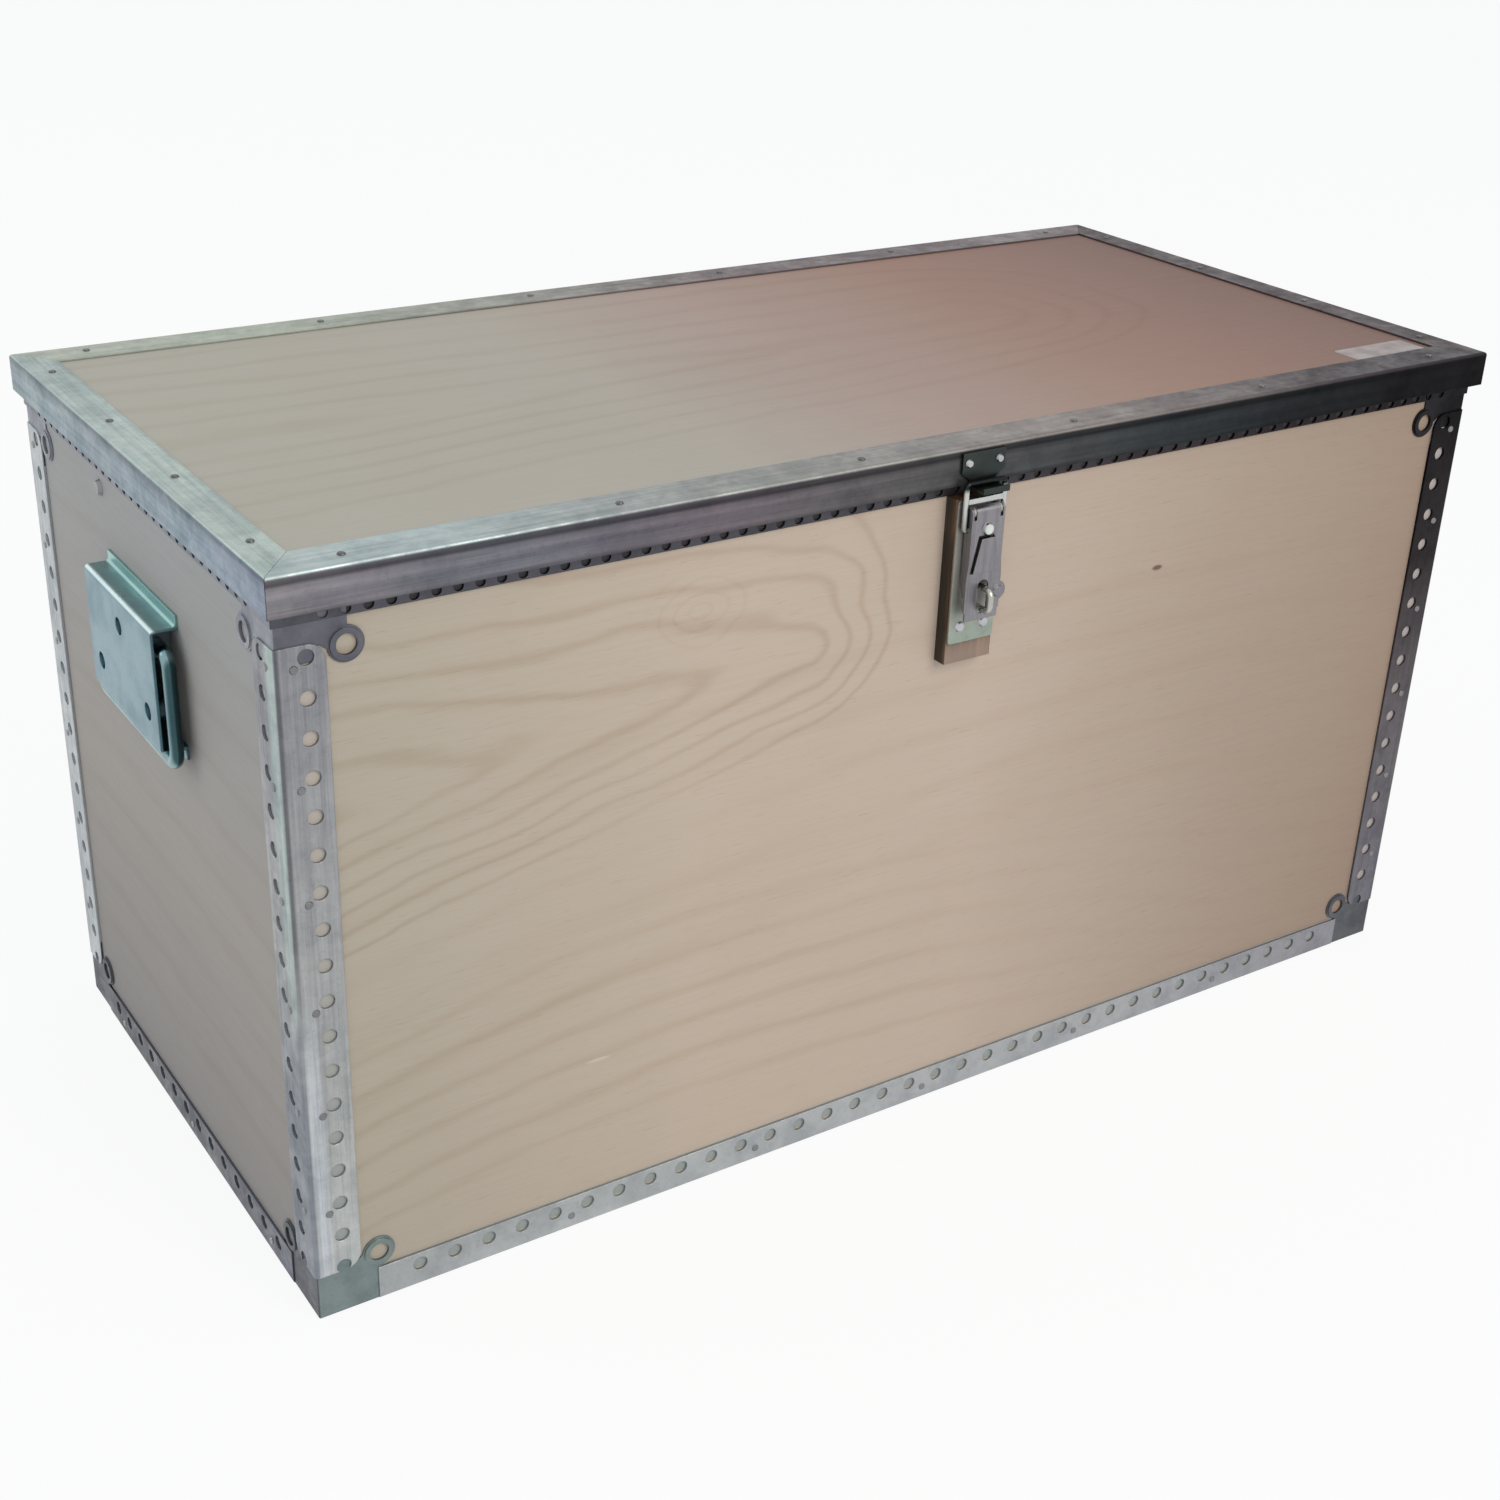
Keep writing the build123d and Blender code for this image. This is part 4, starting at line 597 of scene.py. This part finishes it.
# The front and back skirts: a painted dark reflection, to nearly black towards the right.
SKIRT_TONES = [
    (0.00, (0.300, 0.280, 0.295)),
    (0.14, (0.205, 0.208, 0.236)),
    (0.28, (0.200, 0.172, 0.194)),
    (0.43, (0.132, 0.127, 0.127)),
    (0.65, (0.045, 0.052, 0.056)),
    (0.90, (0.0065, 0.0060, 0.0080)),
    (1.00, (0.003, 0.003, 0.004)),
]
# Painted light down the front skirt: darker at its lower edge, a paler line above its middle, and a dark
# shadow line under the bend.
SKIRT_SHADES = [
    (0.00, (0.62, 0.62, 0.62)),
    (0.14, (1.00, 1.00, 1.00)),
    (0.45, (0.86, 0.88, 0.90)),
    (0.62, (1.12, 1.10, 1.12)),
    (0.80, (0.86, 0.86, 0.86)),
    (0.88, (0.34, 0.34, 0.36)),
    (1.00, (0.52, 0.52, 0.54)),
]
# the left end's rim: a painted mint reflection
END_RIM_TONES = [(0.0, (0.46, 0.54, 0.50)), (1.0, (0.42, 0.50, 0.48))]
END_SKIRT_TONES = [
    (0.00, (0.305, 0.360, 0.453)),
    (0.30, (0.330, 0.410, 0.460)),
    (0.60, (0.335, 0.400, 0.440)),
    (0.85, (0.350, 0.435, 0.460)),
    (1.00, (0.370, 0.450, 0.470)),
]
# a painted dark line along the left end's bend
END_SKIRT_SHADES = [
    (0.00, (1.00, 1.00, 1.00)),
    (0.62, (1.00, 1.00, 1.00)),
    (0.88, (0.84, 0.84, 0.84)),
    (1.00, (0.56, 0.56, 0.57)),
]
# the right end's trim: painted shade, darkest on the rim and at the front of the skirt
FAR_RIM_TONE = (0.085, 0.065, 0.068)
FAR_SKIRT_TONES = [(0.0, (0.10, 0.10, 0.11)), (0.3, (0.24, 0.24, 0.25)), (1.0, (0.27, 0.27, 0.28))]


def rim_and_skirt(rim, skirt, shades=None, join=FRONT_JOIN):
    """The tone of a lid trim: its level rim, and its upright skirt with painted shades from its edge to the
    bend.
    """
    def tone(g):
        z = g.axes["z"]
        upright = skirt(g)
        if shades:
            upright = g.dye(upright, 1.0, g.ramp(g.share(z, SKIRT_LOW, BEND_LOW), shades))
        return g.mix(g.band(z, *join), upright, rim(g))
    return tone


skirt = toned_along(*LID_RUN, SKIRT_TONES)
front_tone = rim_and_skirt(toned_along(*LID_RUN, RIM_TONES), skirt, SKIRT_SHADES)
back_tone = rim_and_skirt(toned_along(*LID_RUN, BACK_RIM_TONES), skirt)
end_rim, end_skirt = toned_along(*LID_DEPTH, END_RIM_TONES), toned_along(*LID_DEPTH, END_SKIRT_TONES)
end_tone = rim_and_skirt(end_rim, end_skirt, END_SKIRT_SHADES, END_JOIN)
far_end_tone = rim_and_skirt(lambda g: FAR_RIM_TONE, toned_along(*LID_DEPTH, FAR_SKIRT_TONES))
lid_front_steel = steel("lid_front_steel", front_tone, brushed="x")
lid_back_steel = steel("lid_back_steel", back_tone, brushed="x")
lid_end_steel = steel("lid_end_steel", end_tone, brushed="y")
lid_far_end_steel = steel("lid_far_end_steel", far_end_tone, brushed="y")

# ------------------------------------------------------------------ latch, handles, hinges and fasteners

BOSS, BOSS_SIZE = (0.0, 0.3706), (0.0030, 0.0030)
BASE_RISE = ("z", 0.3045, 0.386)
# darker towards the top: painted shade under the hook and the lid's edge
BASE_TONES = [
    (0.00, (0.34, 0.40, 0.34)),
    (0.25, (0.42, 0.43, 0.38)),
    (0.60, (0.48, 0.46, 0.41)),
    (1.00, (0.36, 0.36, 0.33)),
]
WIRE_RISE = ("z", 0.320, 0.3965)
# Painted light on the loop: bright painted highlights near the tops of its arms, and a nearly black painted
# shade over its top bar in the hook.
WIRE_TONES = [
    (0.00, (0.56, 0.57, 0.53)),
    (0.62, (0.24, 0.24, 0.22)),
    (0.80, (0.58, 0.60, 0.58)),
    (0.925, (0.60, 0.62, 0.60)),
    (0.955, (0.030, 0.035, 0.033)),
    (1.00, (0.020, 0.025, 0.024)),
]
HANDLE_TOP_WALL = (0.3375, 0.3385)
HANDLE_FACE = (0.3970, 0.3985)
HANDLE_UPPER_BEND, HANDLE_LOWER_BEND = (0.3362, 0.3374), (0.2730, 0.2718)
BAIL_ARM_OUTSIDE = (0.0566, 0.0590)


def lever_tone(g):
    """The lever's tone, with a painted highlight on the boss above its slit."""
    boss = ellipse(g, "x", "z", BOSS, BOSS_SIZE, 0.35)
    # painted highlight on the boss
    return g.mix(boss, (0.285, 0.275, 0.290), (0.80, 0.84, 0.80))


def handle_tone(g):
    """A handle plate's tone: a blue-green face, a paler mint upper wall, which is a painted reflection, and
    painted highlights along its bends.
    """
    z, out = g.axes["z"], g.math("ABSOLUTE", g.axes["x"])
    tone = g.mix(g.band(z, *HANDLE_TOP_WALL), (0.175, 0.300, 0.350), (0.33, 0.54, 0.52))
    # painted highlights along the bends
    bends = g.math("MAXIMUM", g.band(z, *HANDLE_UPPER_BEND), g.band(z, *HANDLE_LOWER_BEND))
    return g.mix(g.times(bends, g.band(out, *HANDLE_FACE), 0.8), tone, (0.78, 0.92, 0.92))


def bail_tone(g):
    """A bail's tone, with painted shade on the outer sides of its arms."""
    # painted shade on the arms' outer sides
    outside = g.band(g.math("ABSOLUTE", g.axes["y"]), *BAIL_ARM_OUTSIDE)
    return g.mix(outside, (0.24, 0.37, 0.39), (0.045, 0.095, 0.105))


latch_steel = plated("latch_steel", lever_tone, brushed="z", rough=(0.25, 0.38), mottle=0.35)
latch_base_steel = plated("latch_base_steel", toned_along(*BASE_RISE, BASE_TONES), rough=(0.50, 0.62))
# the strike's nearly black tone is a painted shade under the lid's edge
strike_steel = plated("strike_steel", (0.050, 0.060, 0.056), rough=(0.30, 0.42), mottle=0.6)
wire_steel = plated("wire_steel", toned_along(*WIRE_RISE, WIRE_TONES), rough=(0.16, 0.26), mottle=0.3)
handle_steel = plated("handle_steel", handle_tone, rough=(0.24, 0.36), mottle=0.45)
bail_steel = plated("bail_steel", bail_tone, rough=(0.16, 0.26))
bearing_steel = plated("bearing_steel", (0.16, 0.20, 0.22), rough=(0.30, 0.45))
hinge_steel = plated("hinge_steel", (0.38, 0.39, 0.40), rough=(0.28, 0.42))
fastener_steel = plated("fastener_steel", (0.24, 0.24, 0.25), rough=(0.22, 0.36), edge=0.0002)
lid_nail_steel = plated("lid_nail_steel", (0.10, 0.10, 0.10), rough=(0.30, 0.45), edge=0.0002)
bright_steel = plated("bright_fastener_steel", (0.52, 0.52, 0.55), rough=(0.24, 0.36), edge=0.0002)

# ------------------------------------------------------------------ which node has which material


def assign(material, *names):
    """Give CAD nodes one material."""
    for name in names:
        mesh = NODES[name].data
        mesh.materials.clear()
        mesh.materials.append(material)


def matching(*parts):
    """The CAD nodes whose names hold one of these parts."""
    return [name for name in NODES if any(part in name for part in parts)]


assign(front_wood, "front_panel")
assign(back_wood, "back_panel")
assign(side_wood, "left_panel", "right_panel")
assign(lid_wood, "lid_panel")
assign(floor_wood, "bottom_panel")
assign(block_wood, *matching("packer"))
assign(left_angle_steel, "corner_angle_front_left")
assign(right_angle_steel, "corner_angle_front_right")
assign(back_left_steel, "corner_angle_back_left")
assign(angle_steel, "corner_angle_back_right")
assign(bottom_steel, "bottom_angle_front", "bottom_angle_back")
assign(end_bottom_steel, "bottom_angle_left", "bottom_angle_right")
assign(bracket_steel, *matching("bottom_bracket_"))
assign(top_bracket_steel, *matching("top_bracket_"))
assign(trim_steel, "top_trim_front", "top_trim_back")
assign(end_trim_steel, "top_trim_left", "top_trim_right")
assign(lid_front_steel, "lid_trim_front")
assign(lid_back_steel, "lid_trim_back")
assign(lid_end_steel, "lid_trim_left")
assign(lid_far_end_steel, "lid_trim_right")
assign(latch_steel, "latch_lever")
assign(latch_base_steel, "latch_base")
assign(strike_steel, "latch_strike")
assign(wire_steel, "latch_loop", "latch_staple")
assign(handle_steel, *matching("handle_plate"))
assign(bail_steel, *matching("handle_bail"))
assign(bearing_steel, "handle_bearings", "handle_screws")
assign(hinge_steel, *matching("_leaf", "hinge_pins"))
assign(fastener_steel, "frame_nails", "bottom_screws", "lid_stay_bolt", "lid_stay_nut")
assign(fastener_steel, "hinge_body_screws", "hinge_lid_screws", "latch_pivot_pin")
assign(lid_nail_steel, "lid_nails")
assign(bright_steel, "latch_screws", "strike_rivets")

# ------------------------------------------------------------------ blank label on the lid

LABEL_X = (0.3076, 0.3660)
LABEL_Y = (-0.1680, -0.1420)
LABEL_STEPS = (24, 12)
LABEL_CORNER = 0.0025
LABEL_GAP = 0.0001
LABEL_THICKNESS = 0.00012
LABEL_LIFT = 0.0006
LIFTED_FROM = 0.75


def paper():
    """Faded pale paper with soft stains."""
    g = Graph("label_paper")
    stain = g.noise(g.place, 90.0, 3.0, 0.6, 4.0)
    fibre = g.noise(g.place, 900.0, 2.0, 0.6, 6.0)
    tone = g.ramp(stain, [(0.35, (0.30, 0.25, 0.245)), (0.65, (0.42, 0.37, 0.36))])
    return g.surface(**{"Base Color": tone, "Roughness": 0.6, "Normal": g.bump(fibre, 0.3, 0.0001)})


def label_point(a, b):
    """A point of the label from two shares, each from -1 to 1. Its corners are rounded and lift a little."""
    half_x, half_y = (LABEL_X[1] - LABEL_X[0]) / 2, (LABEL_Y[1] - LABEL_Y[0]) / 2
    x, y = a * half_x, b * half_y
    over_x = max(abs(x) - (half_x - LABEL_CORNER), 0)
    over_y = max(abs(y) - (half_y - LABEL_CORNER), 0)
    far = math.hypot(over_x, over_y)
    if far > LABEL_CORNER:
        x = math.copysign(half_x - LABEL_CORNER + over_x * LABEL_CORNER / far, x)
        y = math.copysign(half_y - LABEL_CORNER + over_y * LABEL_CORNER / far, y)
    lift = LABEL_LIFT * max(0.0, abs(a) * abs(b) - LIFTED_FROM)
    return sum(LABEL_X) / 2 + x, sum(LABEL_Y) / 2 + y, LID_PANEL_TOP + LABEL_GAP + lift


def make_label():
    """A thin blank label, stuck on the lid's panel."""
    mesh = bpy.data.meshes.new("lid_label")
    build = bmesh.new()
    across, up = LABEL_STEPS
    rows = [
        [build.verts.new(label_point(2 * i / across - 1, 2 * j / up - 1)) for i in range(across + 1)]
        for j in range(up + 1)
    ]
    for near, far in zip(rows, rows[1:]):
        for i in range(across):
            build.faces.new((near[i], near[i + 1], far[i + 1], far[i]))
    build.to_mesh(mesh)
    build.free()
    label = bpy.data.objects.new("lid_label", mesh)
    bpy.context.scene.collection.objects.link(label)
    label.modifiers.new("thickness", "SOLIDIFY").thickness = LABEL_THICKNESS
    mesh.materials.append(paper())
    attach(label, "lid")


make_label()

# ------------------------------------------------------------------ floor, light and camera

WHITE = (1.0, 1.0, 1.0, 1.0)
FLOOR_HALF = 30.0
FLOOR_COLOUR = (0.86, 0.86, 0.86, 1.0)
FLOOR_WHITENESS = 0.90
AMBIENT_COLOUR = (0.90, 0.95, 1.0, 1.0)
AMBIENT_STRENGTH = 0.62


def seen_share(tree):
    """1 for rays from the camera, a reflection or glass, and 0 for the rest, which light the object."""
    path = tree.nodes.new("ShaderNodeLightPath").outputs
    share = path["Is Camera Ray"]
    for kind in ("Is Glossy Ray", "Is Transmission Ray"):
        share = add_node(tree, "ShaderNodeMath", {0: share, 1: path[kind]}, operation="MAXIMUM").outputs[0]
    return share


def floor_material():
    """A matt floor that looks nearly white to the camera and in reflections, and still takes shadows."""
    material = bpy.data.materials.new("floor_white")
    material.use_nodes = True
    tree = material.node_tree
    tree.nodes.clear()
    output = tree.nodes.new("ShaderNodeOutputMaterial")
    diffuse = add_node(tree, "ShaderNodeBsdfDiffuse", {"Color": FLOOR_COLOUR})
    white = add_node(tree, "ShaderNodeEmission", {"Color": WHITE, "Strength": 1.0})
    share = add_node(tree, "ShaderNodeMath", {0: seen_share(tree), 1: FLOOR_WHITENESS}, operation="MULTIPLY")
    inputs = {0: share.outputs[0], 1: diffuse.outputs[0], 2: white.outputs[0]}
    tree.links.new(add_node(tree, "ShaderNodeMixShader", inputs).outputs[0], output.inputs[0])
    return material


def make_floor():
    """A wide level floor, which isn't part of the object."""
    mesh = bpy.data.meshes.new("floor")
    corners = [(-1, -1), (1, -1), (1, 1), (-1, 1)]
    mesh.from_pydata([(x * FLOOR_HALF, y * FLOOR_HALF, 0) for x, y in corners], [], [(0, 1, 2, 3)])
    mesh.materials.append(floor_material())
    floor = bpy.data.objects.new("floor", mesh)
    bpy.context.scene.collection.objects.link(floor)


def make_world():
    """Soft ambient light, white where the camera or a reflection sees it."""
    world = bpy.data.worlds.new("studio")
    world.use_nodes = True
    tree = world.node_tree
    tree.nodes.clear()
    output = tree.nodes.new("ShaderNodeOutputWorld")
    light = add_node(tree, "ShaderNodeBackground", {"Color": AMBIENT_COLOUR, "Strength": AMBIENT_STRENGTH})
    white = add_node(tree, "ShaderNodeBackground", {"Color": WHITE, "Strength": 1.0})
    inputs = {0: seen_share(tree), 1: light.outputs[0], 2: white.outputs[0]}
    tree.links.new(add_node(tree, "ShaderNodeMixShader", inputs).outputs[0], output.inputs[0])
    bpy.context.scene.world = world


def area_light(name, place, target, size, power, colour):
    """A large soft lamp that faces a point."""
    data = bpy.data.lights.new(name, "AREA")
    data.size = size
    data.energy = power
    data.color = colour
    lamp = bpy.data.objects.new(name, data)
    lamp.location = place
    lamp.rotation_euler = (Vector(target) - Vector(place)).to_track_quat("-Z", "Y").to_euler()
    bpy.context.scene.collection.objects.link(lamp)


make_floor()
make_world()
area_light("key", (0.5, -2.6, 2.0), (0.0, 0.0, 0.2), size=1.8, power=42.0, colour=(1.0, 0.95, 0.88))
area_light("left_fill", (-2.3, 1.5, 1.9), (-0.2, 0.0, 0.25), size=1.4, power=16.0, colour=(0.86, 1.0, 0.97))

# the photograph's camera, solved from the box's corners
CAMERA_PLACE = Vector((-0.6877, -1.0049, 0.7579))
CAMERA_AZIMUTH = math.radians(33.96)
CAMERA_ELEVATION = math.radians(26.35)
CAMERA_ROLL = math.radians(2.19)
CAMERA_LENS = 51.23
CAMERA_SENSOR = 36.0


def make_camera():
    """The camera, aimed by its azimuth and elevation, then rolled."""
    forward = Vector(
        (
            math.sin(CAMERA_AZIMUTH) * math.cos(CAMERA_ELEVATION),
            math.cos(CAMERA_AZIMUTH) * math.cos(CAMERA_ELEVATION),
            -math.sin(CAMERA_ELEVATION),
        )
    )
    level = forward.cross(Vector((0, 0, 1))).normalized()
    upward = level.cross(forward)
    right = level * math.cos(CAMERA_ROLL) + upward * math.sin(CAMERA_ROLL)
    top = right.cross(forward)
    data = bpy.data.cameras.new("camera")
    data.sensor_width = CAMERA_SENSOR
    data.lens = CAMERA_LENS
    camera = bpy.data.objects.new("camera", data)
    turn = Matrix((right, top, -forward)).transposed().to_4x4()
    camera.matrix_world = Matrix.Translation(CAMERA_PLACE) @ turn
    bpy.context.scene.collection.objects.link(camera)
    bpy.context.scene.camera = camera


make_camera()
bpy.context.scene.view_settings.view_transform = "Standard"
